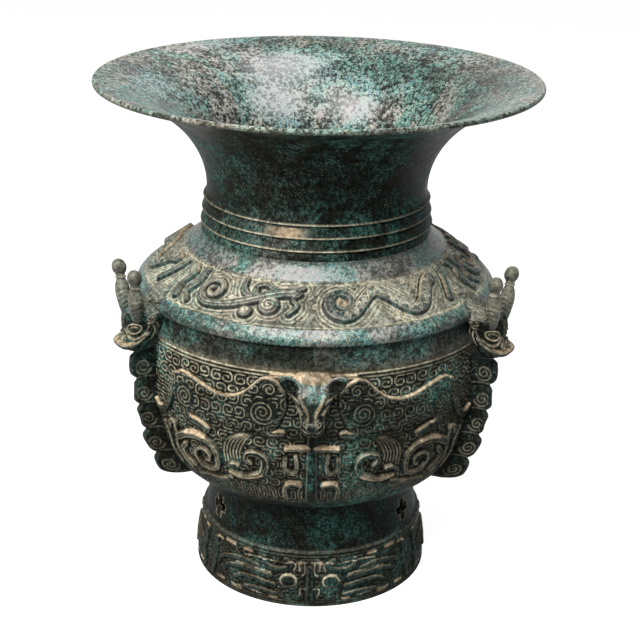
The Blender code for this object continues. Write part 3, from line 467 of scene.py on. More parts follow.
def eased(line):
    """Corners cut by a quarter of each run, which rounds a line of straight runs."""
    near, far = 0.75 * line[:-1] + 0.25 * line[1:], 0.25 * line[:-1] + 0.75 * line[1:]
    return np.vstack([line[:1], np.stack([near, far], 1).reshape(-1, line.shape[1]), line[-1:]])


def length_of(line):
    """The sum of the distances from each point to the next."""
    return float(np.linalg.norm(np.diff(line, axis=0), axis=1).sum())


def evenly(line, spacing):
    """The same line with its points a fixed distance apart, measured along it."""
    run = np.concatenate([[0], np.cumsum(np.linalg.norm(np.diff(line, axis=0), axis=1))])
    count = max(int(round(run[-1] / spacing)), 1) + 1
    at = np.linspace(0, run[-1], count)
    return np.stack([np.interp(at, run, line[:, k]) for k in range(line.shape[1])], 1)


def outward(line):
    """Unit normals to the right of a line's direction. A wall that is drawn upwards has its outside there."""
    slope = np.gradient(line, axis=0)
    slope /= np.linalg.norm(slope, axis=1, keepdims=True)
    return np.stack([slope[:, 1], -slope[:, 0]], 1)


def smoothstep(low, high, x):
    """0 below low, 1 above high, and t^2 (3 - 2t) between. With low above high it falls instead."""
    t = np.clip((x - low) / (high - low), 0, 1)
    return t * t * (3 - 2 * t)


def bell(off, spread, power=2):
    """1 in the middle and falling to both sides as e to the power of -(off / spread)^2, or another power."""
    return np.exp(-(off / spread) ** power)


print("a squared spiral has", len(square_spiral(10, 9, 3, 1)), "corners")

# %% [markdown]
# ## A sheet to draw relief on
# Cast ornament lies in layers: raised bodies, lines cut into them, and a ground of fine spirals between
# them. Sculpting it by hand would take days, and a height picture has only so many pixels. Instead each
# stroke is kept as a line, and a sheet of points works out its distance to the strokes. Distance gives
# everything else: the dome of a body, the wall of a groove, and the clear margin that keeps the ground's
# spirals off the bodies. That margin holds no soil, so it stays dark round each body as a painted shadow.

# %% Relief sheet
class ReliefSheet:
    """Points of a flat sheet, u across and v up, with the layers of a drawing on it.

    Strokes are in millimetres. FAR is the distance to bodies on an empty sheet, and REACH is how far past a
    body its distance is worked out. The others are widths of the moat round a body and of rim and echo lines.
    """

    FAR, REACH = 20 * MM, 6 * MM
    MOAT, RIM_WIDTH, ECHO_WIDTH = 0.7 * MM, 0.42 * MM, 0.85 * MM

    def __init__(self, left, right, low, high, pitch):
        self.u = np.linspace(left, right, int(round((right - left) / pitch)) + 1)
        self.v = np.linspace(low, high, int(round((high - low) / pitch)) + 1)
        shape = (len(self.v), len(self.u))
        self.outside = np.full(shape, self.FAR)
        self.rise, self.ground_cut, self.body_cut, self.clay = (np.zeros(shape) for _ in range(4))

    def measure(self, path, margin):
        """Window of the sheet round a path, with each point's distance to it and its place along it."""
        low, high = path.min(0) - margin, path.max(0) + margin
        cols = slice(*np.searchsorted(self.u, (low[0], high[0])))
        rows = slice(*np.searchsorted(self.v, (low[1], high[1])))
        grid = np.stack(np.meshgrid(self.u[cols], self.v[rows]), -1)[:, :, None, :]
        start, step = path[:-1], np.diff(path, axis=0)
        square = np.maximum((step ** 2).sum(-1), 1e-14)
        share = np.clip(((grid - start) * step).sum(-1) / square, 0, 1)
        gap = ((grid - start - share[..., None] * step) ** 2).sum(-1)
        nearest = gap.argmin(-1)[..., None] if gap.size else np.zeros(gap.shape[:2] + (1,), int)
        run = np.concatenate([[0], np.cumsum(np.sqrt(square))])
        along = run[nearest[..., 0]] + (np.take_along_axis(share, nearest, -1)[..., 0]
                                        * np.sqrt(square)[nearest[..., 0]])
        return (rows, cols), np.sqrt(np.take_along_axis(gap, nearest, -1)[..., 0]), along / run[-1]

    def raise_by(self, window, inside, rise, edge):
        """A body stands up like a quarter circle over its edge width, then stays level."""
        t = np.clip(inside / edge, 0, 1)
        self.rise[window] = np.maximum(self.rise[window], rise * np.sqrt(1 - (1 - t) ** 2))
        self.outside[window] = np.minimum(self.outside[window], -inside)

    def ribbon(self, path, width, end_width, rise):
        """A raised band along a path. A point is inside by the half width less its distance to the path."""
        window, gap, along = self.measure(path, max(width, end_width) / 2 * MM + self.REACH)
        half = (width + (end_width - width) * along) / 2 * MM
        self.raise_by(window, half - gap, rise * MM, 0.7 * min(width, end_width) / 2 * MM)

    def ribbons(self, *strokes):
        """Raised bands along drawn lines. A stroke is its points, its width at both ends and its rise."""
        for points, width, end_width, rise in strokes:
            self.ribbon(drawn(points), width, end_width, rise)

    def plate(self, outline, rise, edge):
        """A raised shape. A point is inside if a ray from it crosses the outline an odd number of times."""
        ring = ring_of(outline)
        window, gap, _ = self.measure(ring, self.REACH)
        u, v = np.meshgrid(self.u[window[1]], self.v[window[0]])
        (u0, v0), (u1, v1) = ring[:-1].T, ring[1:].T
        level = (v0 > v[..., None]) != (v1 > v[..., None])
        lean = np.where(v1 == v0, 1e-12, v1 - v0)
        crossed = level & (u[..., None] < u0 + (v[..., None] - v0) * (u1 - u0) / lean)
        inside = np.where(crossed.sum(-1) % 2 == 1, gap, -gap)
        self.raise_by(window, inside, rise * MM, edge * MM)

    def line(self, path, width, layer):
        """A stroke of a width, full in its middle and fading over its edge, in one of the flat layers."""
        window, gap, _ = self.measure(path, width * MM)
        layer[window] = np.maximum(layer[window], smoothstep(0.75 * width * MM, 0.25 * width * MM, gap))

    def lines(self, width, layer, *strokes):
        """Strokes of one width along drawn lines."""
        for points in strokes:
            self.line(drawn(points), width, layer)

    def level_line(self, v, width, layer):
        """A stroke across the whole sheet at one height."""
        self.line(np.array([[self.u[0], v], [self.u[-1], v]]), width, layer)

    def spirals(self, cell_width, cell_height, pitch, width, layer, seed, low, high):
        """Fills a layer with squared spirals in a running bond, each turned one way or the other."""
        rng = np.random.default_rng(seed)
        rows = max(int(round((high - low) / cell_height)), 1)
        tall, margin = (high - low) / rows, pitch * 0.9
        count = int((self.u[-1] - self.u[0]) / MM / cell_width) + 2
        for row in range(rows):
            flips = rng.choice([-1, 1], (count, 2))
            for i, (flip_u, flip_v) in enumerate(flips):
                path = eased(square_spiral(cell_width - margin, tall - margin, pitch, flip_u) * [1, flip_v])
                centre = [self.u[0] / MM + (i + 0.5 * (row % 2)) * cell_width, low + (row + 0.5) * tall]
                self.line(path + np.array(centre) * MM, width, layer)

    def echo(self, *distances):
        """Ground lines that follow the bodies' outlines at fixed distances from them."""
        for distance in distances:
            self.ground_cut = np.maximum(self.ground_cut, bell(self.outside - distance * MM, self.ECHO_WIDTH))

    def rim_lines(self, rim):
        """A line along every body's edge, at a fixed distance inside it."""
        return bell(self.outside + rim * MM, self.RIM_WIDTH)

    def finished(self, ground_depth, body_depth, rim, body_soil=0.9):
        """Height over the plain wall, and the marks: soil in the lines, clay on ledges, wear on crests.

        A clear moat runs round the bodies, and a line inside their edges. The ground's soil stops short of
        the bodies, which leaves a dark margin round them as painted shade.
        """
        # Soil lines only past a margin round the bodies: the bare margin is painted shade.
        past_dark_margin = smoothstep(0.7 * MM, 1.5 * MM, self.outside)
        moat = bell(self.outside - self.MOAT, self.MOAT)
        on_body = smoothstep(-(rim + 0.3) * MM, -(rim + 0.9) * MM, self.outside)
        rim_cut = self.rim_lines(rim) * smoothstep(0, 0.4 * MM, self.rise)
        body = np.maximum(self.body_cut * on_body, 0.8 * rim_cut)
        ground = self.ground_cut * past_dark_margin
        height = self.rise - ground_depth * MM * ground - body_depth * MM * body - self.MOAT * moat
        up_slope = -np.gradient(self.rise, self.v, axis=0)
        ledge = smoothstep(0.5, 1.3, up_slope) * smoothstep(0.1 * MM, 0.8 * MM, self.rise)
        ledge = np.maximum(ledge, self.clay)
        soil = np.maximum(ground, body_soil * body) ** 1.8 * (1 - ledge)
        crest = smoothstep(-0.2 * MM, -0.9 * MM, self.outside) * (1 - soil) * (1 - ledge)
        crest = crest * smoothstep(-3.4 * MM, -1.8 * MM, self.outside)
        return height, {"soil": soil, "ledge": ledge, "crest": crest}


DRAWING_PITCH = 0.69 * MM
print("drawing pitch", DRAWING_PITCH / MM, "mm")

# %% [markdown]
# ## Walls made of panels
# A relief wall is the profile turned about the axis, pushed out along its normal by the drawn height.
# Turned in one piece it would pass two hundred thousand triangles, so it is cut into panels along
# meridians, as the founder's clay mould was. Each panel is a closed block: outer skin, inner skin, and flat
# joints between them.

# %% Panel builder
INNER_ROWS = 10


def turned_points(line, azimuth, relief=0.0):
    """A profile (r, z), moved along its normals by the relief, at azimuths a from -Y towards +X.

    Its points are (r sin a, -r cos a, z).
    """
    moved = line[:, None, :] + outward(line)[:, None, :] * np.asarray(relief)[..., None]
    radius, height = moved[..., 0], moved[..., 1]
    parts = radius * np.sin(azimuth), -radius * np.cos(azimuth), height + 0 * azimuth
    return np.stack(parts, -1)


def wall_panel(name, line, azimuths, relief, marks, wall, material):
    """Outer skin (profile + normal * relief), inner skin (profile - normal * wall) and joints round them."""
    rows, cols = len(line), len(azimuths)
    keep = np.unique(np.linspace(0, rows - 1, INNER_ROWS).round().astype(int))
    back = (line - wall * outward(line))[keep]
    points = [turned_points(line, azimuths, relief), turned_points(back, azimuths)]
    start, column = rows * cols, np.arange(cols)
    last_in, last_out = start + (len(keep) - 1) * cols, (rows - 1) * cols
    quads = [grid_quads(rows, cols), grid_quads(len(keep), cols, start)[:, ::-1],
             strip(start + column, column), strip(last_out + column, last_in + column)]
    out_column, in_column = np.arange(rows) * cols, start + np.arange(len(keep)) * cols
    left = np.concatenate([out_column, in_column[::-1]])
    right = np.concatenate([in_column + cols - 1, (out_column + cols - 1)[::-1]])
    clean = np.zeros(len(keep) * cols)
    padded = {mark: np.concatenate([values.ravel(), clean]) for mark, values in marks.items()}
    points = np.concatenate([skin.reshape(-1, 3) for skin in points])
    return build_piece(name, points, np.concatenate(quads), material, (left, right), padded)


def turned_ring(name, loop, columns, material, marks, second=None):
    """A closed (r, z) loop carried once round the axis. It is drawn so that its right side is outside.

    A mark is one number, or has a row for each point of the loop and a column, or one for each azimuth.
    """
    points = turned_points(loop, np.linspace(0, TAU, columns, endpoint=False))
    marks = {mark: np.broadcast_to(values, points.shape[:2]) for mark, values in marks.items()}
    quads = grid_quads(len(loop), columns, wrap_columns=True, wrap_rows=True)
    return build_piece(name, points, quads, material, marks=marks, second=second)


def dust_and_sheen_on(line):
    """Share of dust and painted sheen on a wall by how far it faces up: none when its normal rises under 0.2,
    all above 0.8.
    """
    return smoothstep(0.2, 0.8, outward(line)[:, 1:])


print("inner skins of", INNER_ROWS, "rows")

# %% [markdown]
# ## Mouth and neck
# The trumpet mouth was cast with thick walls, a blunt lip and three raised rings round the neck. It could
# be a Screw modifier on a curve, but a computed loop lets the rings and the lip be written as formulas.
# Each ring swells downwards to a sharp crest that holds a pale line of soil, with a painted highlight on
# its front left. The inside of the mouth was rubbed smooth, so it takes a glossier finish than the neck,
# with a pale bloom and a painted sheen where it faces up. On its far wall lie patches: the bright ones are
# painted highlights, the others darker patches. Each patch is given by its azimuth and radius, by its
# spread in degrees and millimetres, and by the dust and painted highlight that it adds or takes away.

# %% Mouth and neck loop
NECK_FOOT_Z, RIM_Z = 0.3583, 0.505
NECK_JOINT_RADIUS, NECK_WAIST_RADIUS, NECK_WAIST_Z, MOUTH_RADIUS = 0.1125, 0.1066, 0.400, 0.212
NECK_WALL, NECK_STEP, LIP_THICKNESS = 0.005, 0.0012, 0.0055
RING_FIRST_Z, RING_PITCH, RING_RISE, RING_COUNT = 0.367, 0.012, 0.0026, 3
RING_REACH, RING_GROOVE = np.array([0.85, 0.85, 0.35]), 0.0009
CREST_EDGE, GROOVE_OFF, GROOVE_WIDTH = (-0.09, 0.02), -0.17, 0.08
NECK_ROWS, FLARE_ROWS, LIP_ROWS = 110, 70, 9
SPIGOT_LOW_Z, SPIGOT_TALL, SPIGOT_OUT, SPIGOT_IN = 0.350, 0.02, 0.1072, 0.1032


def neck_outside():
    """Straight neck that draws in, then the flare as one Bezier.

    Three rings on the neck each grow downwards to a crest and have a groove under it. Their places and widths
    are in ring pitches from a crest.
    """
    z = np.linspace(NECK_FOOT_Z, NECK_WAIST_Z, NECK_ROWS)
    radius = np.interp(z, [NECK_FOOT_Z, NECK_WAIST_Z], [NECK_JOINT_RADIUS - NECK_STEP, NECK_WAIST_RADIUS])
    off = (z[:, None] - RING_FIRST_Z) / RING_PITCH - np.arange(RING_COUNT)
    swell = np.clip(1 - off / RING_REACH, 0, 1) * smoothstep(*CREST_EDGE, off)
    groove = bell(off - GROOVE_OFF, GROOVE_WIDTH)
    radius = radius + RING_RISE * swell.max(1) - RING_GROOVE * groove.max(1)
    lip_z = RIM_Z - LIP_THICKNESS
    rise, spread = lip_z - NECK_WAIST_Z, MOUTH_RADIUS - NECK_WAIST_RADIUS
    flare = bezier((NECK_WAIST_RADIUS, NECK_WAIST_Z), (NECK_WAIST_RADIUS, NECK_WAIST_Z + 0.46 * rise),
                   (NECK_WAIST_RADIUS + 0.4 * spread, NECK_WAIST_Z + 0.9 * rise), (MOUTH_RADIUS, lip_z),
                   FLARE_ROWS)
    return np.stack([radius, z], 1), flare


neck, flare = neck_outside()
lip_turn = np.linspace(-np.pi / 2, np.pi / 2, LIP_ROWS)[1:-1]
lip_half = LIP_THICKNESS / 2
lip = np.stack([MOUTH_RADIUS - lip_half + lip_half * np.cos(lip_turn),
                RIM_Z - lip_half + lip_half * np.sin(lip_turn)], 1)
flare = flare[flare[:, 0] < MOUTH_RADIUS - lip_half]
flare_back = (flare - NECK_WALL * outward(flare))[::-1]
flare_back[:, 1] = np.minimum(flare_back[:, 1], RIM_Z)
spigot = np.array([[SPIGOT_IN, SPIGOT_LOW_Z + SPIGOT_TALL], [SPIGOT_IN, SPIGOT_LOW_Z],
                   [SPIGOT_OUT, SPIGOT_LOW_Z], [SPIGOT_OUT, NECK_FOOT_Z]])
mouth_loop = np.vstack([neck, flare[1:], lip, flare_back, spigot])
print("mouth loop of", len(mouth_loop), "points")

# %% Mouth and neck marks
SOIL_OFF, SOIL_WIDTH = 0.03, 0.075
# Patches on the mouth's far wall: those that add are painted highlights, those that take away are darker
# patches.
PATCH_AZIMUTH, PATCH_RADIUS, PATCH_WIDE, PATCH_DEEP, PATCH_SHEEN = np.array([
    (194, 155, 23, 28, 0.85), (203, 117, 19, 17, 0.6), (161, 117, 17, 17, 0.85), (222, 198, 18, 14, 0.55),
    (138, 190, 16, 12, 0.3), (256, 163, 26, 24, 0.4), (190, 193, 22, 11, -0.4), (245, 176, 14, 20, -0.3),
    (148, 155, 24, 26, -0.42), (105, 170, 24, 28, -0.6)]).T
MOUTH_DUST_AND_SHEEN, LEAST_DUST, MOST_DUST, NECK_LEFT_DUST_AND_LIGHT, RING_HIGHLIGHT = 0.82, 0.1, 2.0, 0.07, 0.14
RING_SOIL, RING_FRONT_HIGHLIGHT, LIP_SOIL, CLAY_SHARE = 0.62, 0.7, 0.1, 0.8
CLAY_LOW_Z, CLAY_HIGH_Z, RINGS_END = 0.3795, 0.388, (0.404, 0.398)
NECK_LIGHT_AT, RING_FRONT_HIGHLIGHT_AT, CLAY_AT = (-0.5, 0.45), (-0.25, 0.5), (-0.26, 0.16, 4)
MOUTH_COLUMNS = 256
loop_radius, loop_z = mouth_loop[:, :1], mouth_loop[:, 1:]
is_outside = (np.arange(len(mouth_loop)) < len(neck) + len(flare) - 1)[:, None]
mouth_azimuth = np.linspace(0, TAU, MOUTH_COLUMNS, endpoint=False)[None, :]
from_front = mouth_azimuth - TAU * (mouth_azimuth > np.pi)


def near_azimuth(at, spread, power=2):
    """A bell round one azimuth of the neck, counted from the front."""
    return bell(from_front - at, spread, power)


crest_off = (loop_z - RING_FIRST_Z) / RING_PITCH - np.arange(RING_COUNT)
crest_line = bell(crest_off - SOIL_OFF, SOIL_WIDTH).max(1, keepdims=True) * is_outside
off_azimuth = (np.degrees(mouth_azimuth)[..., None] - PATCH_AZIMUTH) / PATCH_WIDE
off_radius = (loop_radius[..., None] / MM - PATCH_RADIUS) / PATCH_DEEP
sheen_patches = (PATCH_SHEEN * np.exp(-off_azimuth ** 2 - off_radius ** 2)).sum(-1)
lip_edge = smoothstep(0.2085, 0.2105, loop_radius)
# Inside faces that look up get dust and a painted sheen; the lip's edge gets half of it.
facing_up = np.maximum(smoothstep(0.0, 0.6, outward(mouth_loop)[:, 1:]), 0.5 * lip_edge)
inner_dust_and_sheen = np.clip(MOUTH_DUST_AND_SHEEN * facing_up + sheen_patches, LEAST_DUST, MOST_DUST) * (facing_up > 0)
# The neck is painted lighter on its front left, more so on the rings, as light from that side.
neck_dust_and_light = (NECK_LEFT_DUST_AND_LIGHT + RING_HIGHLIGHT * smoothstep(*RINGS_END, loop_z)) * near_azimuth(*NECK_LIGHT_AT)
# The ring crests hold soil, and more of it on the front left as a painted highlight.
soil_and_highlight_on_rings = (RING_SOIL + RING_FRONT_HIGHLIGHT * near_azimuth(*RING_FRONT_HIGHLIGHT_AT)) * crest_line
clay_patch = near_azimuth(*CLAY_AT) * (loop_z > CLAY_LOW_Z) * (loop_z < CLAY_HIGH_Z) * is_outside
mouth_marks = {"soil": soil_and_highlight_on_rings + LIP_SOIL * lip_edge, "ledge": CLAY_SHARE * clay_patch,
               "dust": np.where(is_outside, neck_dust_and_light, inner_dust_and_sheen)}
inner_quads = np.repeat(~is_outside[:, 0], MOUTH_COLUMNS)
mouth = turned_ring("mouth_and_neck_bronze", mouth_loop, MOUTH_COLUMNS, neck_bronze, mouth_marks,
                    (mouth_bronze, inner_quads))
place_piece(mouth, "mouth_and_neck")

# %% [markdown]
# ## Shoulder
# The shoulder slopes from the belly's edge up to the neck. Between two border lines it carries a long
# dragon with a coiled tail and, facing it, a small hooked dragon, on a ground of whorls. The drawing covers
# one third of the circle and repeats. Its strokes follow the same wave and coils as the bars on the CAD
# shoulder.

# %% Shoulder profile
SECTORS = 3
SECTOR = TAU / SECTORS
SECTOR_LABELS = tuple(zip(("front", "back_right", "back_left"), np.arange(SECTORS) * SECTOR))
BELLY_TOP_Z, SHOULDER_TOP_Z = 0.300, 0.358
BAND_LOW, BAND_HIGH = (0.1685, 0.3145), (0.128, 0.3435)
BAND_MIDDLE_RADIUS = (BAND_LOW[0] + BAND_HIGH[0]) / 2
BAND_SLANT = float(np.hypot(BAND_LOW[0] - BAND_HIGH[0], BAND_HIGH[1] - BAND_LOW[1]))
SHOULDER_WALL, FILLET_HANDLES = 0.005, (0.5, 0.4)


def shoulder_line():
    """Rounded edge, straight band and hollow fillet, with the band's points at the drawing's pitch."""
    edge = drawn([(172.2, 300.35), (175.6, 300.9), (176.5, 303.2), (175.4, 307.0), (172.2, 311.2),
                  (168.5, 314.5)], 4)
    band = np.linspace(BAND_LOW, BAND_HIGH, int(round(BAND_SLANT / DRAWING_PITCH)) + 1)
    run = FILLET_HANDLES[0] * (NECK_JOINT_RADIUS - BAND_HIGH[0])
    slope = (BAND_HIGH[1] - BAND_LOW[1]) / (BAND_HIGH[0] - BAND_LOW[0])
    fillet = bezier(BAND_HIGH, (BAND_HIGH[0] + run, BAND_HIGH[1] + run * slope),
                    (NECK_JOINT_RADIUS, SHOULDER_TOP_Z + FILLET_HANDLES[1] * (BAND_HIGH[1] - SHOULDER_TOP_Z)),
                    (NECK_JOINT_RADIUS, SHOULDER_TOP_Z), 12)
    return np.vstack([edge[:-1], band, fillet[1:]]), len(edge) - 1, len(band)


shoulder, band_start, band_rows = shoulder_line()
print("shoulder line of", len(shoulder), "points, band of", band_rows)

# %% Shoulder drawing
MID, WAVE, COIL = BAND_SLANT / 2 / MM, 12.5, 14.5
COIL_UP, TAIL_AT, SMALL_TAIL_AT, BORDER = MID - WAVE + COIL, 24.65, -99.3, 2.0 * MM
SCALE_PITCH, SCALE_REACH, RIM = 8.6, 4.4, 1.4
half_width = SECTOR / 2 * BAND_MIDDLE_RADIUS
band = ReliefSheet(-half_width, half_width, 0, BAND_SLANT, BAND_SLANT / (band_rows - 1))


def winding(start, end, waves):
    """A cosine wave from start to end round the band, with its last trough at the end."""
    t = np.linspace(0, 1, 60, endpoint=False)
    return np.stack([start + (end - start) * t, MID - WAVE * np.cos(waves * TAU * (t - 1))], 1) * MM


def zigzag(path, reach, pitch, side):
    """A line that crosses a path from side to side: a point each pitch, moved off it by the reach in turn."""
    stations = evenly(path, pitch * MM)
    swing = side * reach * MM * (-1.0) ** np.arange(len(stations))
    return stations + outward(stations) * swing[:, None]


wave = winding(127.3, TAIL_AT, 1.5)
coil = spiral((TAIL_AT, COIL_UP), COIL, 3.2, -1.4, -90)
small = np.vstack([winding(-18.6, SMALL_TAIL_AT, 0.5),
                   spiral((SMALL_TAIL_AT, COIL_UP), COIL, 3.5, -1.35, -90)])
band.ribbon(wave, 12.5, 11.5, 4.5)
band.ribbon(coil, 11.5, 3.5, 4.5)
band.ribbon(small, 11.0, 5.0, 3.6)
band.ribbons(
    ([(134, 12), (140, 22), (147, 34), (150, 44)], 7, 5, 3.0),
    ([(-72, 45), (-70.5, 36), (-64, 30), (-57, 33), (-58, 40), (-49, 44), (-38, 39), (-24, 39), (-11, 43)],
     6.5, 5, 3.0),
    ([(-14, 36), (-20, 30), (-16, 23), (-22, 14)], 5, 4, 3.0),
    ([(-124, 44), (-122, 30), (-126, 16), (-120, 8)], 6, 4, 3.0),
    ([(-136, 8), (-140, 22), (-136, 36), (-142, 44)], 6, 4, 3.0))
turn = np.linspace(0, TAU, 40, endpoint=False)
circle = np.stack([np.cos(turn), np.sin(turn)], 1)
for centre, radius in (((-41, 22), 9.5), ((-60, 12), 6)):
    band.plate((np.array(centre) + radius * circle) * MM, 3.4, 3.0)
    band.line(spiral(centre, radius - 2.6, 0.6, 1.8, 30), 1.6, band.body_cut)
for side_of_path in (1, -1):
    band.line(zigzag(wave, SCALE_REACH, SCALE_PITCH, side_of_path), 1.1, band.body_cut)
for centre in evenly(wave, SCALE_PITCH * MM) / MM:
    band.line(spiral(centre, 2.6, 0.4, 1.4, 40), 0.9, band.body_cut)
band.line(small, 1.2, band.body_cut)
band.line(np.array([[23, COIL_UP], [26.5, COIL_UP]]) * MM, 7, band.clay)
band.echo(2.4, 6.0, 9.6)
for centre, radius in (((109, 38), 8), ((73, 12), 8), ((151, 11), 7), ((57, 43), 4.5), ((94, 44), 4),
                       ((-85, 44), 4), ((-78, 22), 4.5), ((0.5, 24), 3.0), ((-115, 24), 5), ((-148, 25), 5),
                       ((130, 43), 5), ((-30, 28), 4), ((124, 12), 4.5)):
    band.line(spiral(centre, radius, 0.7, radius / 2.8, 60), 1.3, band.ground_cut)
for v in (BORDER, BAND_SLANT - BORDER):
    band.level_line(v, 1.3, band.ground_cut)
band_height, band_marks = band.finished(1.0, 0.9, RIM)
print("shoulder relief up to", round(band_height.max() / MM, 2), "mm")

# %% Shoulder panels
BAND_DUST, BODY_DUST, GROUND_DUST, GROUND_TAN = 0.08, 0.45, 0.3, 0.18
STEEP_DUST, LEVEL_DUST_AND_SHEEN, EDGE_DUST_AND_SHEEN, FRONT_SHEEN = 0.35, 0.65, 0.64, 0.85
BODY_EDGE, GROUND_EDGE = (-0.2 * MM, -1.0 * MM), (0.8 * MM, 1.6 * MM)
TAN_LIGHTENS_RIGHT, FRONT_SHEEN_AT = (0.0, 0.5), (-0.1, 0.5)


def with_plain_edges(sheet_values):
    """The drawn band set into a taller array that is zero on the plain edge below it and the fillet above."""
    whole = np.zeros((len(shoulder), sheet_values.shape[1]))
    whole[band_start:band_start + band_rows] = sheet_values
    return whole


sheet_azimuth = band.u / BAND_MIDDLE_RADIUS
on_bodies = smoothstep(*BODY_EDGE, band.outside)
on_ground = smoothstep(*GROUND_EDGE, band.outside)
# Tan soil on the ground, with more of it towards the right of each sector as painted light.
tan_and_light = GROUND_TAN + GROUND_TAN * smoothstep(*TAN_LIGHTENS_RIGHT, sheet_azimuth)
band_marks["soil"] = np.maximum(band_marks["soil"], tan_and_light * on_ground)
shoulder_marks = {mark: with_plain_edges(values) for mark, values in band_marks.items()}
# The rounded edge and the fillet get dust and a painted sheen by how far they face up, and a painted
# highlight at the front of each sector.
shoulder_dust_and_sheen = EDGE_DUST_AND_SHEEN + FRONT_SHEEN * bell(sheet_azimuth - FRONT_SHEEN_AT[0], FRONT_SHEEN_AT[1])
shoulder_dust_and_sheen = (STEEP_DUST + LEVEL_DUST_AND_SHEEN * dust_and_sheen_on(shoulder)) * shoulder_dust_and_sheen
# On the band dust lies on bodies and ground; the bare margin round the bodies stays dark as painted shade.
shoulder_dust_and_sheen[band_start:band_start + band_rows] = BAND_DUST + BODY_DUST * on_bodies + GROUND_DUST * on_ground
shoulder_marks["dust"] = shoulder_dust_and_sheen
for label, middle in SECTOR_LABELS:
    panel = wall_panel(f"shoulder_{label}_bronze", shoulder, middle + sheet_azimuth,
                       with_plain_edges(band_height), shoulder_marks, SHOULDER_WALL, shoulder_bronze)
    place_piece(panel, "shoulder")

# %% [markdown]
# ## Belly
# Each third of the belly shows one beast: a head in the round with two bodies that spread to the left and
# right of it, over a mask made of scrolls. Such split animals are mirror images, so half a sector is drawn
# once and turned over for the other half. Bodies are closed outlines with a dome, and legs, tails and
# scrolls are ribbons.

# %% Belly profile
BELLY_FOOT_Z, BELLY_RADIUS, BELLY_BULGE_Z, BELLY_TOP_RADIUS = 0.1103, 0.176, 0.236, 0.1715
COLLAR_RADIUS, BELLY_LOW_RISE, BELLY_WALL = 0.1073, 0.126, 0.005
LOW_HANDLES, HIGH_HANDLES = (0.52, 0.4), (0.4, 0.7)


def belly_line():
    """Two Beziers that meet at the widest circle, with points at the drawing's pitch."""
    spread = BELLY_RADIUS - COLLAR_RADIUS
    low = bezier((COLLAR_RADIUS, BELLY_FOOT_Z), (COLLAR_RADIUS + LOW_HANDLES[0] * spread, BELLY_FOOT_Z),
                 (BELLY_RADIUS, BELLY_FOOT_Z + LOW_HANDLES[1] * BELLY_LOW_RISE),
                 (BELLY_RADIUS, BELLY_BULGE_Z), 200)
    rise = BELLY_TOP_Z - BELLY_BULGE_Z
    high = bezier((BELLY_RADIUS, BELLY_BULGE_Z), (BELLY_RADIUS, BELLY_BULGE_Z + HIGH_HANDLES[0] * rise),
                  (BELLY_TOP_RADIUS, BELLY_BULGE_Z + HIGH_HANDLES[1] * rise),
                  (BELLY_TOP_RADIUS, BELLY_TOP_Z), 90)
    return evenly(np.vstack([low, high[1:]]), DRAWING_PITCH)


belly = belly_line()
BELLY_SLANT = length_of(belly)
print("belly line", round(BELLY_SLANT / MM, 1), "mm long in", len(belly), "points")

# %% Belly drawing: bodies
THICK_RIBBON = 5
half_arc = SECTOR / 2 * BELLY_RADIUS
side = ReliefSheet(0, half_arc, 0, BELLY_SLANT, BELLY_SLANT / (len(belly) - 1))


def below_edge(line):
    """Turns a line's second number from a depth below the belly's upper edge into a height on the sheet."""
    return np.stack([line[:, 0], BELLY_SLANT - line[:, 1]], 1)


body = drawn([(24, 46), (30, 36), (40, 31), (49, 33), (58, 42), (68, 49.5), (80, 53), (93, 52.5),
              (107, 48.5), (119, 45), (130, 43), (138, 45), (143, 53), (146, 63), (143, 74), (134, 82),
              (118, 82), (100, 82), (80, 83), (62, 84), (46, 85), (34, 82), (27, 70), (23, 58)], closed=True)
side.plate(below_edge(body), 4.2, 4.0)
for points, width, end_width, rise in (
        ([(140, 52), (147, 66), (153, 80), (161, 91), (170, 93), (177, 89)], 11, 6, 4.0),
        ([(130, 80), (125, 89), (114, 91), (104, 95)], 11, 9, 4.0),
        ([(46, 80), (38, 86), (28, 85)], 10, 8, 4.0),
        ([(143, 115), (132, 109), (118, 106), (104, 108), (96.5, 116), (95, 128), (99, 138), (108.5, 142),
          (118, 139.5), (122.5, 133), (122, 125), (116, 119.5), (108.5, 119.5), (104.5, 124), (105.5, 130),
          (110, 131)], 8.5, 3.2, 4.0),
        ([(59, 122), (63, 117), (61, 111), (52.5, 109.5), (45.5, 114), (44.5, 123)], 5, 9, 3.8),
        ([(44.5, 123), (49, 132.5), (60, 138), (71, 140.5), (83, 138)], 9, 5, 4.0),
        ([(3, 100), (14, 100), (24, 101)], 6, 5, 3.6),
        ([(25, 112), (25, 124), (17, 129), (14, 120), (15, 108)], 5.5, 5, 3.2),
        ([(27, 166), (27, 150), (20, 143), (11, 145)], 6.5, 5, 3.6),
        ([(136, 122), (143, 130), (140, 140), (131, 147)], 7, 4, 3.2),
        ([(157, 110), (154, 103), (148, 103), (148, 116), (151, 130), (147, 142), (139, 152)], 6, 5, 3.4),
        ([(165, 108), (162, 122), (163, 138), (157, 152)], 6, 5, 3.2),
        ([(84, 146), (98, 152), (116, 153), (130, 157)], 5, 4, 3.0)):
    path = below_edge(drawn(points))
    side.ribbon(path, width, end_width, rise)
    if width > THICK_RIBBON:
        side.line(path, 1.0, side.body_cut)
side.ribbon(below_edge(drawn([(0, 88), (0, 132), (0, 168)])), 10, 14, 3.6)
side.plate(below_edge((np.array([77, 128]) + circle * [6, 4]) * MM), 3.6, 3.0)
print("bodies cover", round(100 * (side.outside < 0).mean()), "% of the sheet")

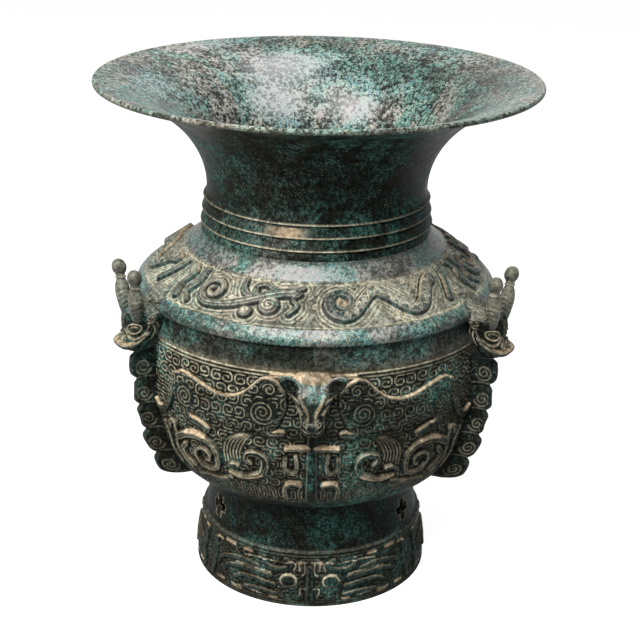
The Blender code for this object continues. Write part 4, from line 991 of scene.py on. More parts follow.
# %% Belly drawing: lines
ROUND_SPIRALS = (((127, 66), 10.5, 2.4, 230), ((45, 64), 12, 2.6, 210), ((39, 42), 6, 1.4, 20))
COLLAR_LINES, LOWEST_LINE, BODIES_END = ((26.5, 1.8), (30.0, 1.1)), 177, 87
COMB_TEETH, COMB_PITCH = 6, 3.4
slant_mm = BELLY_SLANT / MM
u_grid, v_grid = np.meshgrid(side.u / MM, (BELLY_SLANT - side.v) / MM)
fill, comb_cut, comb_zone = (np.zeros_like(side.body_cut) for _ in range(3))
side.spirals(12.0, 13.0, 3.5, 1.05, fill, 23, slant_mm - BODIES_END, slant_mm - 35)
for (across, down), radius, turns, start in ROUND_SPIRALS:
    fill *= smoothstep(radius + 1.5, radius + 2.5, np.hypot(u_grid - across, v_grid - down))
    side.line(spiral((across, slant_mm - down), radius, 1.2, turns, start), 1.1, side.body_cut)
side.body_cut = np.maximum(side.body_cut, fill * (v_grid < BODIES_END))
for shift in np.arange(COMB_TEETH) * COMB_PITCH:
    comb = below_edge(drawn([(88 - shift, 128 - 0.5 * shift), (87.5 - shift, 112), (82 - shift, 100),
                             (68 - 0.6 * shift, 91)]))
    side.line(comb, 1.2, comb_cut)
    side.line(comb, 5.0, comb_zone)
for depth, width in (*COLLAR_LINES, (LOWEST_LINE, 2.0)):
    side.level_line(BELLY_SLANT - depth * MM, width, side.ground_cut)
side.level_line(BELLY_SLANT - LOWEST_LINE * MM, 1.6, side.clay)
side.line(below_edge(drawn([(5, 28.5), (22, 28), (38, 29)])), 4.5, side.clay)
side.spirals(12.5, 11.8, 3.5, 1.1, side.ground_cut, 21, slant_mm - 150, slant_mm - 31.5)
side.spirals(10.5, 24.0, 3.4, 1.1, side.ground_cut, 22, slant_mm - 175, slant_mm - 151)
side.ground_cut = np.maximum(side.ground_cut * (1 - comb_zone), comb_cut)
side_height, side_marks = side.finished(1.7, 1.0, RIM, body_soil=0.56)
print("belly relief up to", round(side_height.max() / MM, 2), "mm")

# %% Belly marks
HEAD_SHADE, BODIES_SHADE, UPPER_SOIL, LOWER_SHADE = 0.5, 0.45, 1.15, 0.25
MASK_LEDGE_CUT, MASK_RIM_SOIL, COLLAR_SOIL, COLLAR_END = 0.7, 0.6, 0.05, 25 * MM
HEAD_DEPTH, HEAD_REACH, UNDER_BODIES, UNDER_WIDTH = 78, (40, 20), 91, 6
MASK_FROM, LOWER_FROM, OFF_NOSE, COLLAR_SOIL_FROM = (94, 102), (48, 60), (7, 8.5), (12, 24)
# Painted shade: less soil round the beast's head, in a band under the bodies, and towards the lower belly,
# which faces down.
shade_near_head = bell(u_grid, HEAD_REACH[0], 4) * bell(v_grid - HEAD_DEPTH, HEAD_REACH[1], 4)
shade_below_bodies, on_mask = bell(v_grid - UNDER_BODIES, UNDER_WIDTH), smoothstep(*MASK_FROM, v_grid)
soil_and_shade_by_depth = UPPER_SOIL - LOWER_SHADE * smoothstep(*LOWER_FROM, v_grid)
side_marks["soil"] *= (1 - HEAD_SHADE * shade_near_head) * (1 - BODIES_SHADE * shade_below_bodies) * soil_and_shade_by_depth
side_marks["ledge"] = np.maximum(side_marks["ledge"] * (1 - MASK_LEDGE_CUT * on_mask), side.clay)
mask_rims = side.rim_lines(RIM) * on_mask * smoothstep(*OFF_NOSE, u_grid)
side_marks["soil"] = np.maximum(side_marks["soil"], MASK_RIM_SOIL * mask_rims)
for points in ([(49, 133), (60, 138.5), (72, 141), (83, 138)], [(3, 97.5), (24, 98.5)],
               [(12, 142), (20, 140.5), (26, 143)], [(108, 104), (120, 103), (132, 106)]):
    side.line(below_edge(drawn(points)), 3.0, side_marks["ledge"])
plain = side.v > BELLY_SLANT - COLLAR_END
collar_soil = COLLAR_SOIL * smoothstep(*COLLAR_SOIL_FROM, v_grid) * plain[:, None]
side_marks["soil"] = np.maximum(side_marks["soil"], collar_soil)
side_marks["dust"] = plain[:, None] + 0.0 * u_grid
print("soil on", round(100 * (side_marks["soil"] > 0.3).mean()), "% of the belly")

# %% Belly panels
# The left hand of each sector gets more soil as painted light from the left, and its collar less dust as
# painted shade that evens out the lamp.
COLLAR_DUST_AND_SHADE, SOIL_AND_LIGHT_BY_HAND = {"right": 0.2, "left": 0.06}, {"right": 1.02, "left": 1.55}
PLAIN_ROW_STEP, DRAWING_END = 6, 180 * MM
FLOOR_ROWS, FLOOR_COLUMNS, FLOOR_INSET, FLOOR_SOIL = 6, 96, 0.0005, 0.2
lowest = side.v < BELLY_SLANT - DRAWING_END
kept = ~(plain | lowest) | (np.arange(len(side.v)) % PLAIN_ROW_STEP == 0)
kept[[0, -1]] = True
half_azimuth = side.u / BELLY_RADIUS
for label, middle in SECTOR_LABELS:
    for hand, step in (("right", 1), ("left", -1)):
        marks = {mark: values[kept][:, ::step] for mark, values in side_marks.items()}
        marks["soil"] = np.clip(SOIL_AND_LIGHT_BY_HAND[hand] * marks["soil"], 0, 1)
        marks["dust"] = COLLAR_DUST_AND_SHADE[hand] * marks["dust"]
        panel = wall_panel(f"belly_{label}_{hand}_bronze", belly[kept], middle + step * half_azimuth[::step],
                           side_height[kept][:, ::step], marks, BELLY_WALL, belly_bronze)
        place_piece(panel, "belly")

floor_radius = np.linspace(FLOOR_INSET, COLLAR_RADIUS - FLOOR_INSET, FLOOR_ROWS)
floor_under = np.stack([floor_radius, np.full(FLOOR_ROWS, BELLY_FOOT_Z)], 1)
belly_floor = np.vstack([floor_under, floor_under[::-1] + [0, BELLY_WALL]])
base = turned_ring("belly_floor_bronze", belly_floor, FLOOR_COLUMNS, belly_bronze, {"soil": FLOOR_SOIL})
place_piece(base, "belly")

# %% [markdown]
# ## Foot ring
# The foot has a carved band below and a plain cone above it, pierced by a cross under each fin: pins held
# the clay core there while the bronze was poured. The band is drawn as half a mask and mirrored, like the
# belly. The cone could take its crosses from a Boolean, but here a grid with lines on their edges leaves
# them open.

# %% Foot band
FOOT_WALL, FOOT_BAND_TOP, FOOT_BAND_SUNK = 0.006, (0.1132, 0.055), 0.0002
FOOT_BASE_RADIUS, FOOT_MIDDLE_RADIUS, FOOT_WAIST_RADIUS, FOOT_HEIGHT = 0.1193, 0.1163, 0.105, 0.110
FOOT_SOIL, PALE_LINE_SOIL, FOOT_LEDGE, FOOT_CLAY = 0.16, 0.75, 0.36, 0.9
foot_band = evenly(bezier((FOOT_BASE_RADIUS, 0.0), (0.1186, 0.0275), (0.1166, 0.0275), FOOT_BAND_TOP, 80),
                   DRAWING_PITCH)
FOOT_SLANT = length_of(foot_band)
mask = ReliefSheet(0, SECTOR / 2 * FOOT_MIDDLE_RADIUS, 0, FOOT_SLANT, FOOT_SLANT / (len(foot_band) - 1))
mask.ribbons(
    ([(0, 8), (0, 24), (0, 40)], 9, 7, 2.0),
    ([(24, 48), (20, 43.5), (24, 39), (36, 37.5), (45, 41), (47, 48)], 6.5, 5, 2.2),
    ([(54, 36), (70, 38.5), (88, 36), (100, 31), (103, 24)], 6, 4, 2.0),
    ([(40, 29), (58, 30.5), (76, 30), (90, 26), (94, 20)], 6, 4, 2.0),
    ([(36, 20), (54, 22.5), (70, 22), (80, 17)], 6, 4, 2.0),
    ([(34, 11), (52, 13), (68, 11)], 5, 4, 2.0),
    ([(112, 46), (110, 28), (113, 9)], 6, 6, 2.0))
eye = (np.array([21, 27]) + circle * [8, 6.5]) * MM
mask.plate(eye, 2.6, 3.0)
mask.lines(1.3, mask.ground_cut, [(7.5, 38), (8.5, 44), (10.5, 49.5), (0, 50)])
for v in (2.0 * MM, 4.8 * MM, FOOT_SLANT - 2.2 * MM):
    mask.level_line(v, 1.3, mask.ground_cut)
for u, v, length in ((62, 50, 9), (84, 50.5, 12), (104, 49, 6), (33, 7, 6), (72, 6, 9), (96, 7.5, 8),
                     (9, 46, 3)):
    mask.line(np.array([[u, v], [u + length, v]]) * MM, 3.0, mask.clay)
mask.spirals(11.5, 11.0, 3.4, 1.1, mask.ground_cut, 31, 6, FOOT_SLANT / MM - 4)
mask_height, mask_marks = mask.finished(1.1, 0.7, RIM, body_soil=0.4)
pale_lines = np.zeros_like(mask.clay)
mask.lines(1.2, pale_lines, [(2, 46.5), (10, 46.5), (10, 38)], [(5, 46.5), (5, 36), (8, 32.5)],
           [(16, 38), (14, 43.5), (19, 47), (26, 44.5)], [(4, 19), (9, 19), (9, 12)],
           [(34, 45), (52, 46), (70, 44)], [(40, 33), (60, 34.5), (80, 33)], [(48, 8), (66, 9), (84, 8)])
mask.line(ring_of(eye), 1.7, pale_lines)
mask_marks["soil"] = np.maximum(FOOT_SOIL * mask_marks["soil"], PALE_LINE_SOIL * pale_lines)
mask_marks["ledge"] = np.maximum(FOOT_LEDGE * mask_marks["ledge"], FOOT_CLAY * mask.clay)


def mirrored(half_values):
    """A half sheet with its mirror image to the left of it. The middle column is kept once."""
    return np.concatenate([half_values[:, :0:-1], half_values], 1)


foot_azimuth = mask.u / FOOT_MIDDLE_RADIUS
foot_azimuth = np.concatenate([-foot_azimuth[:0:-1], foot_azimuth])
foot_marks = {mark: mirrored(values) for mark, values in mask_marks.items()}
for label, middle in SECTOR_LABELS:
    panel = wall_panel(f"foot_band_{label}_bronze", foot_band, middle + foot_azimuth,
                       mirrored(mask_height) - FOOT_BAND_SUNK, foot_marks, FOOT_WALL, foot_bronze)
    place_piece(panel, "foot_ring")
print("foot relief up to", round(mask_height.max() / MM, 2), "mm")

# %% Pierced wall
CROSS_ARM, CROSS_WIDTH, CROSS_Z, CROSS_RADIUS = 0.022, 0.008, 0.076, 0.108
cross_middles = (np.arange(SECTORS) + 0.5) * SECTOR


def pierced_wall(line, azimuths, is_open, wall):
    """A turned wall with some cells left out: both skins, two end rings, and a wall round every opening."""
    rows, cols = is_open.shape[0] + 1, is_open.shape[1]
    skins = [turned_points(skin, azimuths).reshape(-1, 3) for skin in (line, line - wall * outward(line))]
    start, top = rows * cols, (rows - 1) * cols
    outer = grid_quads(rows, cols, wrap_columns=True)
    solid = outer[~is_open.ravel()]
    ring = np.append(np.arange(cols), 0)
    quads = [solid, solid[:, ::-1] + start, strip(start + ring, ring), strip(top + ring, start + top + ring)]
    padded = np.pad(is_open, ((1, 1), (0, 0)))
    for beside, corners in ((np.roll(is_open, 1, 1), (0, 3)), (np.roll(is_open, -1, 1), (2, 1)),
                            (padded[:-2], (1, 0)), (padded[2:], (3, 2))):
        edge = outer[(is_open & ~beside).ravel()][:, corners]
        quads.append(np.hstack([edge, edge[:, ::-1] + start]))
    return np.concatenate(skins), np.concatenate(quads)


def in_cross(across, up, margin=0.0):
    """Whether places are inside a cross: within an arm's length one way and half its width the other way."""
    long_half, short_half = CROSS_ARM / 2 + margin, CROSS_WIDTH / 2 + margin
    return ((across < long_half) & (up < short_half)) | ((across < short_half) & (up < long_half))


def off_crosses(azimuth):
    """Distance along the wall from azimuths to the middle of the nearest cross."""
    return np.abs((azimuth[None, :, None] - cross_middles + np.pi) % TAU - np.pi).min(-1) * CROSS_RADIUS


print("crosses at", np.degrees(cross_middles).round(), "degrees")

# %% Foot cone with its crosses
CONE_COLUMNS, STEP_SOIL, CROSS_SOIL, CROSS_SOIL_MARGIN, CONE_DUST = 168, 0.12, 0.5, 0.0003, 0.1
STEP_SOIL_Z = (0.0585, 0.0562)
step_top, waist = (0.1102, 0.0572), (FOOT_WAIST_RADIUS, 0.092)
cone_shape = np.vstack([
    [(0.1130, 0.0552), (0.1127, 0.0562), (0.1112, 0.0566), step_top],
    bezier(step_top, (0.1075, 0.068), (0.1055, 0.080), waist, 40)[1:],
    bezier(waist, (FOOT_WAIST_RADIUS, 0.098), (0.1058, 0.104), (COLLAR_RADIUS, FOOT_HEIGHT), 20)[1:]])
cross_edges = np.array([-CROSS_ARM, -CROSS_WIDTH, CROSS_WIDTH, CROSS_ARM]) / 2
row_z = np.unique(np.concatenate([cone_shape[:, 1], CROSS_Z + cross_edges]).round(5))
cone = np.stack([np.interp(row_z, cone_shape[:, 1], cone_shape[:, 0]), row_z], 1)
edge_columns = (cross_middles[:, None] + cross_edges / CROSS_RADIUS).ravel()
columns = np.unique(np.concatenate([np.arange(CONE_COLUMNS) * TAU / CONE_COLUMNS, edge_columns]).round(6))
cell_z = (cone[1:, 1:] + cone[:-1, 1:]) / 2
cell_azimuth = (columns + np.append(columns[1:], columns[0] + TAU)) / 2
is_open = in_cross(off_crosses(cell_azimuth), np.abs(cell_z - CROSS_Z))
cone_points, cone_quads = pierced_wall(cone, columns, is_open, FOOT_WALL)
on_cross = in_cross(off_crosses(columns), np.abs(cone[:, 1:] - CROSS_Z), CROSS_SOIL_MARGIN)
cone_soil = np.maximum(STEP_SOIL * smoothstep(*STEP_SOIL_Z, cone[:, 1:]), CROSS_SOIL * on_cross)
cone_dust = CONE_DUST * dust_and_sheen_on(cone) + 0.0 * on_cross
cone_marks = {"soil": np.stack([cone_soil, 0 * cone_soil]), "dust": np.stack([cone_dust, 0 * cone_dust])}
foot_cone = build_piece("foot_cone_bronze", cone_points, cone_quads, foot_bronze, marks=cone_marks)
place_piece(foot_cone, "foot_ring")

# %% [markdown]
# ## Fins
# Three notched fins stand on the joints of the mould and hide its seams. Each was drawn flat, so the depth
# of the fin is one function of height: a lobed edge that ends in a round lobe at the foot. Both faces carry
# a curl in every lobe. A Solidify modifier could give the thickness, but a loop round the section also
# rounds the edge.

# %% Fin drawing
FIN_LOW_Z, FIN_HIGH_Z, FIN_DEPTH, FIN_LOBES, FIN_NOTCH = 0.124, 0.260, 0.0225, 5, 0.0045
FIN_ROOT_HALF, FIN_EDGE_HALF, FIN_SUNK, FIN_TALL = 0.0055, 0.0042, 0.0015, FIN_HIGH_Z - FIN_LOW_Z
FIN_WAIST, FIN_SWAY, FIN_SWAY_RATE, FIN_TOP_CUT = 0.005, 0.0012, 23, 0.004
NOTCH_WIDTH, FIN_FOOT_SHARE, FIN_TOP_SHARE, FIN_PITCH = 0.13, 0.07, 0.97, 0.6 * MM


def fin_depth(share):
    """Depth along the fin from foot (0) to top (1), least in the middle.

    It has a round notch at each joint of two lobes and a quarter circle at the foot.
    """
    body = FIN_DEPTH - FIN_WAIST * (1 - (2 * share - 1) ** 2) + FIN_SWAY * np.sin(FIN_SWAY_RATE * share)
    joint = np.round(share * FIN_LOBES)
    between_lobes = (joint > 0) & (joint < FIN_LOBES)
    notch = FIN_NOTCH * bell(np.abs(share * FIN_LOBES - joint), NOTCH_WIDTH) * between_lobes
    foot = np.clip(share / FIN_FOOT_SHARE, 0, 1)
    return (body - notch) * np.sqrt(1 - (1 - foot) ** 2) - FIN_TOP_CUT * smoothstep(FIN_TOP_SHARE, 1.0, share)


def sampled(sheet, values, u, v):
    """Value of a sheet's layer at any place: the four points round it, weighed by how near they are."""
    x = np.clip((u - sheet.u[0]) / (sheet.u[1] - sheet.u[0]), 0, len(sheet.u) - 1.001)
    y = np.clip((v - sheet.v[0]) / (sheet.v[1] - sheet.v[0]), 0, len(sheet.v) - 1.001)
    i, j = x.astype(int), y.astype(int)
    fx, fy = x - i, y - j
    low = (1 - fx) * values[j, i] + fx * values[j, i + 1]
    high = (1 - fx) * values[j + 1, i] + fx * values[j + 1, i + 1]
    return (1 - fy) * low + fy * high


def turned_to(points, azimuth):
    """Points given as (outward, sideways, up), turned to an azimuth of the vessel."""
    out, across = (np.sin(azimuth), -np.cos(azimuth)), (np.cos(azimuth), np.sin(azimuth))
    x = points[..., 0] * out[0] + points[..., 1] * across[0]
    y = points[..., 0] * out[1] + points[..., 1] * across[1]
    return np.stack([x, y, points[..., 2]], -1)


fin_sheet = ReliefSheet(0, FIN_DEPTH + FIN_SUNK, 0, FIN_TALL, FIN_PITCH)
lobe = FIN_TALL / FIN_LOBES / MM
for low in np.arange(FIN_LOBES) * lobe:
    fin_sheet.line(spiral((14, low + 0.5 * lobe), 8.5, 1, 1.9, 200), 1.8, fin_sheet.ground_cut)
    fin_sheet.lines(1.3, fin_sheet.ground_cut, [(2, low + 2), (12, low + 3.5), (24, low + 2)])
fin_cut, fin_marks = fin_sheet.finished(1.0, 0, 1)
print("fin sheet of", fin_cut.shape, "points")

# %% Fins
FIN_SOIL, FIN_WEAR, FIN_MARGIN, EDGE_ROUND = 0.26, 0.7, 3 * MM, 0.6
FIN_ROWS, FACE_COLUMNS, EDGE_COLUMNS = 220, 40, 9
SIDE_LABELS = tuple(zip(("right", "back", "left"), cross_middles))
share = np.linspace(0, 1, FIN_ROWS)[:, None]
fin_z = FIN_LOW_Z + FIN_TALL * share
fin_root = np.interp(fin_z, belly[:, 1], belly[:, 0]) - FIN_SUNK
fin_reach = fin_depth(share) + FIN_SUNK
across = np.linspace(0, 1, FACE_COLUMNS)
bend = np.linspace(-np.pi / 2, np.pi / 2, EDGE_COLUMNS)[1:-1]
face_depth = fin_reach * across
face_v = fin_z - FIN_LOW_Z + 0 * face_depth
face_cut = sampled(fin_sheet, fin_cut, face_depth, face_v) * smoothstep(0, FIN_MARGIN, fin_reach - face_depth)
face_side = FIN_ROOT_HALF + (FIN_EDGE_HALF - FIN_ROOT_HALF) * across + face_cut
face_soil = FIN_SOIL * sampled(fin_sheet, fin_marks["soil"], face_depth, face_v)
edge_depth = fin_reach + EDGE_ROUND * FIN_EDGE_HALF * np.cos(bend)
edge_side = FIN_EDGE_HALF * np.sin(bend) + 0 * edge_depth


def round_fin(face, edge, other_face):
    """One face, the rounded edge and the other face, which runs back to the root, side by side."""
    return np.concatenate([face, edge, other_face[:, ::-1]], 1)


depth = round_fin(face_depth, edge_depth, face_depth)
fin_points = np.stack([fin_root + depth, round_fin(-face_side, edge_side, face_side), fin_z + 0 * depth], -1)
fin_marks = {"soil": round_fin(face_soil, 0 * edge_depth, face_soil),
             "crest": round_fin(0 * face_depth, FIN_WEAR + 0 * edge_depth, 0 * face_depth)}
fin_quads = grid_quads(*depth.shape, wrap_columns=True)
for label, azimuth in SIDE_LABELS:
    fin = build_piece(f"flange_{label}_bronze", turned_to(fin_points, azimuth), fin_quads, head_bronze,
                      end_caps(*depth.shape), fin_marks)
    place_piece(fin, f"flange_{label}")

# %% [markdown]
# ## Heads
# The heads were cast apart and fixed to the wall with rivets. A head is a stack of rounded loops, wide at
# the brow and drawn in at the muzzle, and its features are drawn on a half sheet that is wrapped round it
# from the middle of the face to the back. Sculpting would also do, but this way each lid and jaw line keeps
# its own width.

# %% Head builder
HEAD_COLUMNS, HEAD_SPACING = ((150, 0.55 * MM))
FACE_PITCH, FACE_RIM, HEAD_DUST, DUSTY_SLOPE, TINY = 0.4 * MM, 0.8, 0.45, (0.5, 2.0), 1e-9


def oval(centre, reach, tilt_degrees=0):
    """A closed oval of two half lengths, tilted, in millimetres."""
    c, s = np.cos(np.radians(tilt_degrees)), np.sin(np.radians(tilt_degrees))
    return (np.array(centre) + (circle * reach) @ np.array([[c, s], [-s, c]])) * MM


def head_shell(levels, squareness, sheet, heights, marks):
    """Loops |x/a|^n + |y/b|^n = 1 through levels (z, back, front, half width in mm), pushed out by a sheet.

    A point of a loop reads the sheet at its way round from the middle of the face and its height over the
    chin. The squareness is 2/n.
    """
    rows = evenly(drawn(levels), HEAD_SPACING)
    z, back, front, half = (rows[:, k:k + 1] for k in range(4))
    turn = np.linspace(-np.pi, np.pi, HEAD_COLUMNS, endpoint=False)[None, :]
    c, s = np.cos(turn), np.sin(turn)
    x = (front + back) / 2 + (front - back) / 2 * np.sign(c) * np.abs(c) ** squareness
    y = half * np.sign(s) * np.abs(s) ** squareness
    dx, dy = (np.roll(a, -1, 1) - np.roll(a, 1, 1) for a in (x, y))
    length = np.maximum(np.hypot(dx, dy), TINY)
    run = np.cumsum(np.hypot(np.diff(x, axis=1, append=x[:, :1]), np.diff(y, axis=1, append=y[:, :1])), 1)
    face_middle = HEAD_COLUMNS // 2
    run = np.abs(run - run[:, face_middle - 1:face_middle])
    up = z - rows[0, 0] + 0 * x
    push = sampled(sheet, heights, run, up)
    points = np.stack([x + dy / length * push, y - dx / length * push, z + 0 * x], -1)
    shell_marks = {mark: sampled(sheet, values, run, up) for mark, values in marks.items()}
    slope = np.gradient(front[:, 0] - back[:, 0], z[:, 0] + TINY * np.arange(len(z)))
    shell_marks["dust"] = HEAD_DUST * smoothstep(*DUSTY_SLOPE, -slope)[:, None] + 0 * x
    return points, grid_quads(*x.shape, wrap_columns=True), end_caps(*x.shape), shell_marks


print("head loops of", HEAD_COLUMNS, "points")

# %% Horned heads
HORNED_LEVELS = [
    (264.5, 186, 199, 9), (267, 184, 205, 13), (270, 182, 209.3, 16), (273, 180, 209.8, 17),
    (276, 178, 207, 16.8), (280, 175, 204.5, 16), (285, 171, 203.5, 15.3), (290, 167, 203.5, 15.8),
    (295, 162, 204, 17), (299, 157, 203.5, 17.5), (301.5, 153, 201, 17), (303, 152.5, 196, 15.5),
    (305.5, 152.5, 188, 14.5), (309.5, 152.5, 182, 13.5), (314, 152.5, 175.5, 12), (318.5, 152.5, 168.5, 9.5),
    (321, 152.5, 164, 7)]
EYE_AT, EYE_TILT = (14.5, 24.5), 12
FACE_LEDGE, LID_SOIL, SKULL_SOIL, SKULL_CLEARS = 0.55, 0.7, 0.14, 0.5
BROW_UP, SKULL_Z, HORNED_SQUARENESS = (0.036, 0.039), (0.301, 0.306), 0.65
face = ReliefSheet(0, 0.070, 0, 0.062, FACE_PITCH)
face.plate(oval(EYE_AT, (5.0, 2.8), EYE_TILT), 2.2, 2.6)
face.ribbons(([(0, 6.5), (9, 6.5), (17, 8.5), (24, 13), (29, 19)], 5.5, 3.5, 2.2),
             ([(0, 38), (0, 24), (0, 13)], 7, 6, 1.6),
             ([(4, 20.5), (10, 16), (18, 15), (26, 19.5), (31, 26)], 2.6, 2.2, 1.3))
lids = ring_of(oval(EYE_AT, (7.3, 4.6), EYE_TILT))
face.ribbon(lids, 1.8, 1.8, 1.4)
face.ribbon(spiral((5.5, 12.5), 2.8, 0.9, 1.2, 90), 2.0, 1.6, 1.4)
face.ribbon(spiral((32, 34), 5.5, 1.3, 1.4, 250), 2.6, 2.0, 1.5)
face.lines(1.2, face.ground_cut, [(0, 10), (9, 10.2), (16, 12.2), (23, 17)],
           [(0, 3), (8, 3.2), (16, 5), (24, 9.5)], [(8, 19), (12, 13.5)], [(13, 18.5), (8, 13.5)],
           [(37, 14), (39, 22), (37, 31)], [(33.5, 13), (35, 20), (33.5, 27)])
face.lines(2.4, face.clay, [(0, 9.4), (9, 9.4), (17, 11.6)])
face.spirals(8.5, 8.0, 2.7, 1.0, face.ground_cut, 41, 38, 62)
face_height, face_marks = face.finished(1.0, 0.6, FACE_RIM)
face_marks["ledge"] *= FACE_LEDGE
face_marks["soil"] *= 1 - SKULL_CLEARS * smoothstep(*BROW_UP, face.v)[:, None]
lid_lines = np.zeros_like(face.clay)
face.line(lids, 1.3, lid_lines)
face_marks["soil"] = np.maximum(face_marks["soil"], LID_SOIL * lid_lines)
horned, quads, caps, marks = head_shell(HORNED_LEVELS, HORNED_SQUARENESS, face, face_height, face_marks)
marks["soil"] = np.maximum(marks["soil"], SKULL_SOIL * smoothstep(*SKULL_Z, horned[..., 2]))
for label, azimuth in SIDE_LABELS:
    turned = turned_to(horned, azimuth)
    head = build_piece(f"horned_head_{label}_bronze", turned, quads, head_bronze, caps, marks)
    place_piece(head, f"horned_head_{label}")

# %% Horns
HORN_OUT, HORN_SPACING, HORN_FOOT_Z, HORN_GROOVE = 0.1965, 0.026, 0.2975, 0.45 * MM
HORN_SPLAY, HORN_LEAN, CHEVRON_PITCH = np.radians(7), np.radians(4.5), 4.6 * MM
HORN_SOIL, HORN_LIT_TOP, HORN_GROOVE_SOIL, HORN_NECK_SOIL = 0.04, 0.2, 0.3, 0.4
HORN_DUST, HORN_WEAR, CHEVRON_RISE, CHEVRON_WIDTH = 0.05, 0.22, 1.2, 0.15
CHEVRON_FOOT, CHEVRON_TOP, SHAFT_LIT_UP, KNOB_LIT_UP = (4, 7), (27, 22), (8, 26), (39, 48)
SHAFT_END, HORN_NECK_FOOT, HORN_NECK_TOP = 31, (31, 32.5), (38.5, 37)
HORN_COLUMNS, HORN_STEP = ((48, 0.5 * MM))
bottle = evenly(drawn([
    (0.1, -3), (3.5, -2), (5.0, 2), (6.1, 8), (7.0, 15), (7.2, 20), (6.6, 25), (5.5, 28.6), (4.5, 31.2),
    (4.1, 32.2), (5.0, 33.1), (5.0, 34.1), (4.1, 35), (4.1, 35.7), (4.9, 36.5), (4.5, 37.3), (5.8, 38.6),
    (6.6, 40.8), (6.9, 43.3), (6.3, 46.2), (4.8, 48.9), (2.6, 50.5), (0.1, 51)]), HORN_STEP)
bottle_radius, bottle_up = bottle[:, :1], bottle[:, 1:]
up_mm = bottle_up / MM
round_horn = np.linspace(0, TAU, HORN_COLUMNS, endpoint=False)[None, :]
chevron = bottle_up / CHEVRON_PITCH + CHEVRON_RISE * np.abs(round_horn * 2 / np.pi % 2 - 1)
groove = bell(chevron - np.round(chevron), CHEVRON_WIDTH)
groove = groove * smoothstep(*CHEVRON_FOOT, up_mm) * smoothstep(*CHEVRON_TOP, up_mm)
# Horn shafts and knobs are paler towards their tops: painted light from above.
upper = np.where(up_mm < SHAFT_END, smoothstep(*SHAFT_LIT_UP, up_mm), smoothstep(*KNOB_LIT_UP, up_mm))
neck_soil = HORN_NECK_SOIL * smoothstep(*HORN_NECK_FOOT, up_mm) * smoothstep(*HORN_NECK_TOP, up_mm)
horn_soil_and_light = HORN_SOIL + HORN_LIT_TOP * upper + HORN_GROOVE_SOIL * groove
horn_marks = {"soil": np.maximum(horn_soil_and_light, neck_soil), "dust": HORN_DUST * (1 - groove),
              "crest": HORN_WEAR * (1 - groove)}
horn_quads = grid_quads(len(bottle), HORN_COLUMNS, wrap_columns=True)[:, ::-1]
horn_caps = [cap[::-1] for cap in end_caps(len(bottle), HORN_COLUMNS)]


def horn_points(hand):
    """The turned bottle, splayed to one hand and leaned outwards, as (outward, sideways, up)."""
    radius = bottle_radius - HORN_GROOVE * groove
    sideways, out = radius * np.sin(round_horn), radius * np.cos(round_horn)
    up = bottle_up + 0 * out
    c, s = np.cos(HORN_SPLAY), np.sin(HORN_SPLAY)
    return np.stack([HORN_OUT + out + up * np.sin(HORN_LEAN),
                     hand * HORN_SPACING / 2 + sideways * c + hand * up * s,
                     HORN_FOOT_Z + up * c - hand * sideways * s], -1)


for label, azimuth in SIDE_LABELS:
    for letter, hand in (("a", -1), ("b", 1)):
        horn = build_piece(f"horn_{label}_{letter}_bronze", turned_to(horn_points(hand), azimuth), horn_quads,
                           horn_bronze, horn_caps, horn_marks)
        place_piece(horn, f"horn_{label}_{letter}")

# %% Beast heads
BEAST_LEVELS = [
    (220, 166, 186, 5), (222, 166, 194, 8), (225, 166, 199.5, 10), (229, 166, 202, 11.3),
    (234, 166, 202, 11.6), (240, 166, 199, 12.2), (246, 166, 195.5, 14.2), (252, 166, 192.5, 17),
    (259, 166, 190, 19.2), (266, 166, 187, 19.5), (271, 166, 183.5, 17.5), (274.5, 166, 179, 14),
    (276, 166, 175.5, 10)]
MUZZLE_LEDGE, CROWN_CLAY, FOREHEAD_DUST, BEAST_SQUARENESS = 0.35, 0.9, 1.25, 0.75
NOSE_UP, FOREHEAD_Z, CROWN_Z, FOREHEAD_HALF = (0.018, 0.026), (0.250, 0.262), (0.2680, 0.2705), (0.015, 0.009)
muzzle = ReliefSheet(0, 0.060, 0, 0.060, FACE_PITCH)
muzzle.plate(oval((0, 14), (6, 5)), 2.2, 3.0)
muzzle.plate(drawn([(0, 59), (7.5, 52), (5, 42), (0, 32), (-5, 42), (-7.5, 52)], closed=True), 2.0, 3.0)
muzzle.plate(oval((15, 34), (4.5, 2.8), 25), 1.8, 2.5)
muzzle.ribbons(([(11, 39), (7.5, 31.5), (4, 25.5), (3, 20)], 3.8, 2.8, 2.2),
               ([(20, 40), (14, 29.5), (9.5, 24)], 2.6, 2.2, 1.5))
muzzle.lines(2.4, muzzle.clay, [(11, 39), (7.5, 31.5), (4, 25.5)])
muzzle.ribbon(spiral((6, 17.5), 3.2, 0.8, 1.3, 100), 2, 1.6, 1.6)
for radius in (3.5, 6.2, 8.9):
    muzzle.line(spiral((21, 18), radius, radius, 0.62, 20), 1.2, muzzle.ground_cut)
muzzle.lines(1.1, muzzle.ground_cut, [(0, 4), (6, 5), (12, 8), (16, 13)], [(26, 20), (28, 30), (26, 40)],
             [(0, 8.5), (5, 9), (10, 11.5)])
muzzle_height, muzzle_marks = muzzle.finished(0.9, 0.5, FACE_RIM)
muzzle_marks["ledge"] *= MUZZLE_LEDGE * smoothstep(*NOSE_UP, muzzle.v)[:, None]
beast = head_shell(BEAST_LEVELS, BEAST_SQUARENESS, muzzle, muzzle_height, muzzle_marks)
beast_points, _, _, marks = beast
crown = smoothstep(*CROWN_Z, beast_points[..., 2])
forehead = smoothstep(*FOREHEAD_Z, beast_points[..., 2]) * (1 - crown)
marks["ledge"] = np.maximum(marks["ledge"], CROWN_CLAY * crown)
marks["dust"] = FOREHEAD_DUST * forehead * smoothstep(*FOREHEAD_HALF, np.abs(beast_points[..., 1]))
print("beast head of", beast_points.shape[0], "loops")

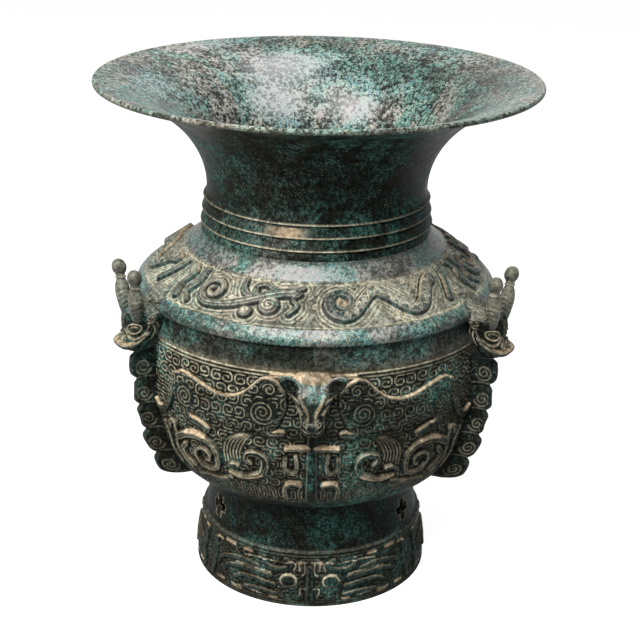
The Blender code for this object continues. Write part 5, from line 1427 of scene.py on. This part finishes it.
# %% Beast ears
EAR_REACH, EAR_PLACE = np.array([5.0, 7.6, 12.6]) * MM, np.array([189, 19.5, 269.5]) * MM
EAR_LEAN, EAR_DENT, EAR_RAKE, EAR_RIM_HIGHLIGHT = np.radians(47), 0.007, 0.25, 1.3
EAR_FRONT, EAR_RIM, EAR_OUTER = (0, 0.25), (0.75, 0.4), (0.45, -0.2)
EAR_ROWS, EAR_COLUMNS, EAR_END = 28, 48, np.pi / 2 - 0.03


def ear_shell(hand):
    """A ball stretched to a leaf and leaned out, with its front pressed in.

    The dent is (1 - q^2) of the deepest, where q runs from 0 in the middle to 1 at the rim.
    """
    lift = np.linspace(-EAR_END, EAR_END, EAR_ROWS)[:, None]
    turn = np.linspace(0, TAU, EAR_COLUMNS, endpoint=False)[None, :]
    ball = np.stack([np.cos(lift) * np.cos(turn), np.cos(lift) * np.sin(turn), np.sin(lift) + 0 * turn], -1)
    inner = np.clip(1 - ball[..., 1] ** 2 - ball[..., 2] ** 2, 0, 1)
    leaf = ball * EAR_REACH
    leaf[..., 0] -= EAR_DENT * inner * smoothstep(*EAR_FRONT, ball[..., 0])
    c, s = np.cos(EAR_LEAN), np.sin(EAR_LEAN)
    y, z = leaf[..., 1] * c + leaf[..., 2] * s, leaf[..., 2] * c - leaf[..., 1] * s
    points = np.stack([leaf[..., 0] + EAR_RAKE * z, hand * y, z], -1) + EAR_PLACE * [1, hand, 1]
    quads = grid_quads(EAR_ROWS, EAR_COLUMNS, wrap_columns=True)[:, ::hand]
    caps = [cap[::hand] for cap in end_caps(EAR_ROWS, EAR_COLUMNS)]
    # A pale painted highlight on the upper outer rim of each ear.
    rim = EAR_RIM_HIGHLIGHT * smoothstep(*EAR_RIM, inner) * smoothstep(*EAR_OUTER, ball[..., 1])
    return points, quads, caps, {"dust": rim}


def joined(shells):
    """Several closed shells as one set of points, quads, caps and marks."""
    starts = np.cumsum([0] + [grid[..., 0].size for grid, _, _, _ in shells[:-1]])
    points = np.concatenate([grid.reshape(-1, 3) for grid, _, _, _ in shells])
    quads = np.concatenate([quads + start for (_, quads, _, _), start in zip(shells, starts)])
    caps = [cap + start for (_, _, caps, _), start in zip(shells, starts) for cap in caps]
    full = [{mark: own.get(mark, 0 * grid[..., 0]) for mark in MARKS} for grid, _, _, own in shells]
    marks = {mark: np.concatenate([own[mark].ravel() for own in full]) for mark in MARKS}
    return points, quads, caps, marks


points, quads, caps, marks = joined([beast, ear_shell(1), ear_shell(-1)])
for label, azimuth in SECTOR_LABELS:
    turned = turned_to(points, azimuth)
    head = build_piece(f"beast_head_{label}_bronze", turned, quads, head_bronze, caps, marks)
    place_piece(head, f"beast_head_{label}")
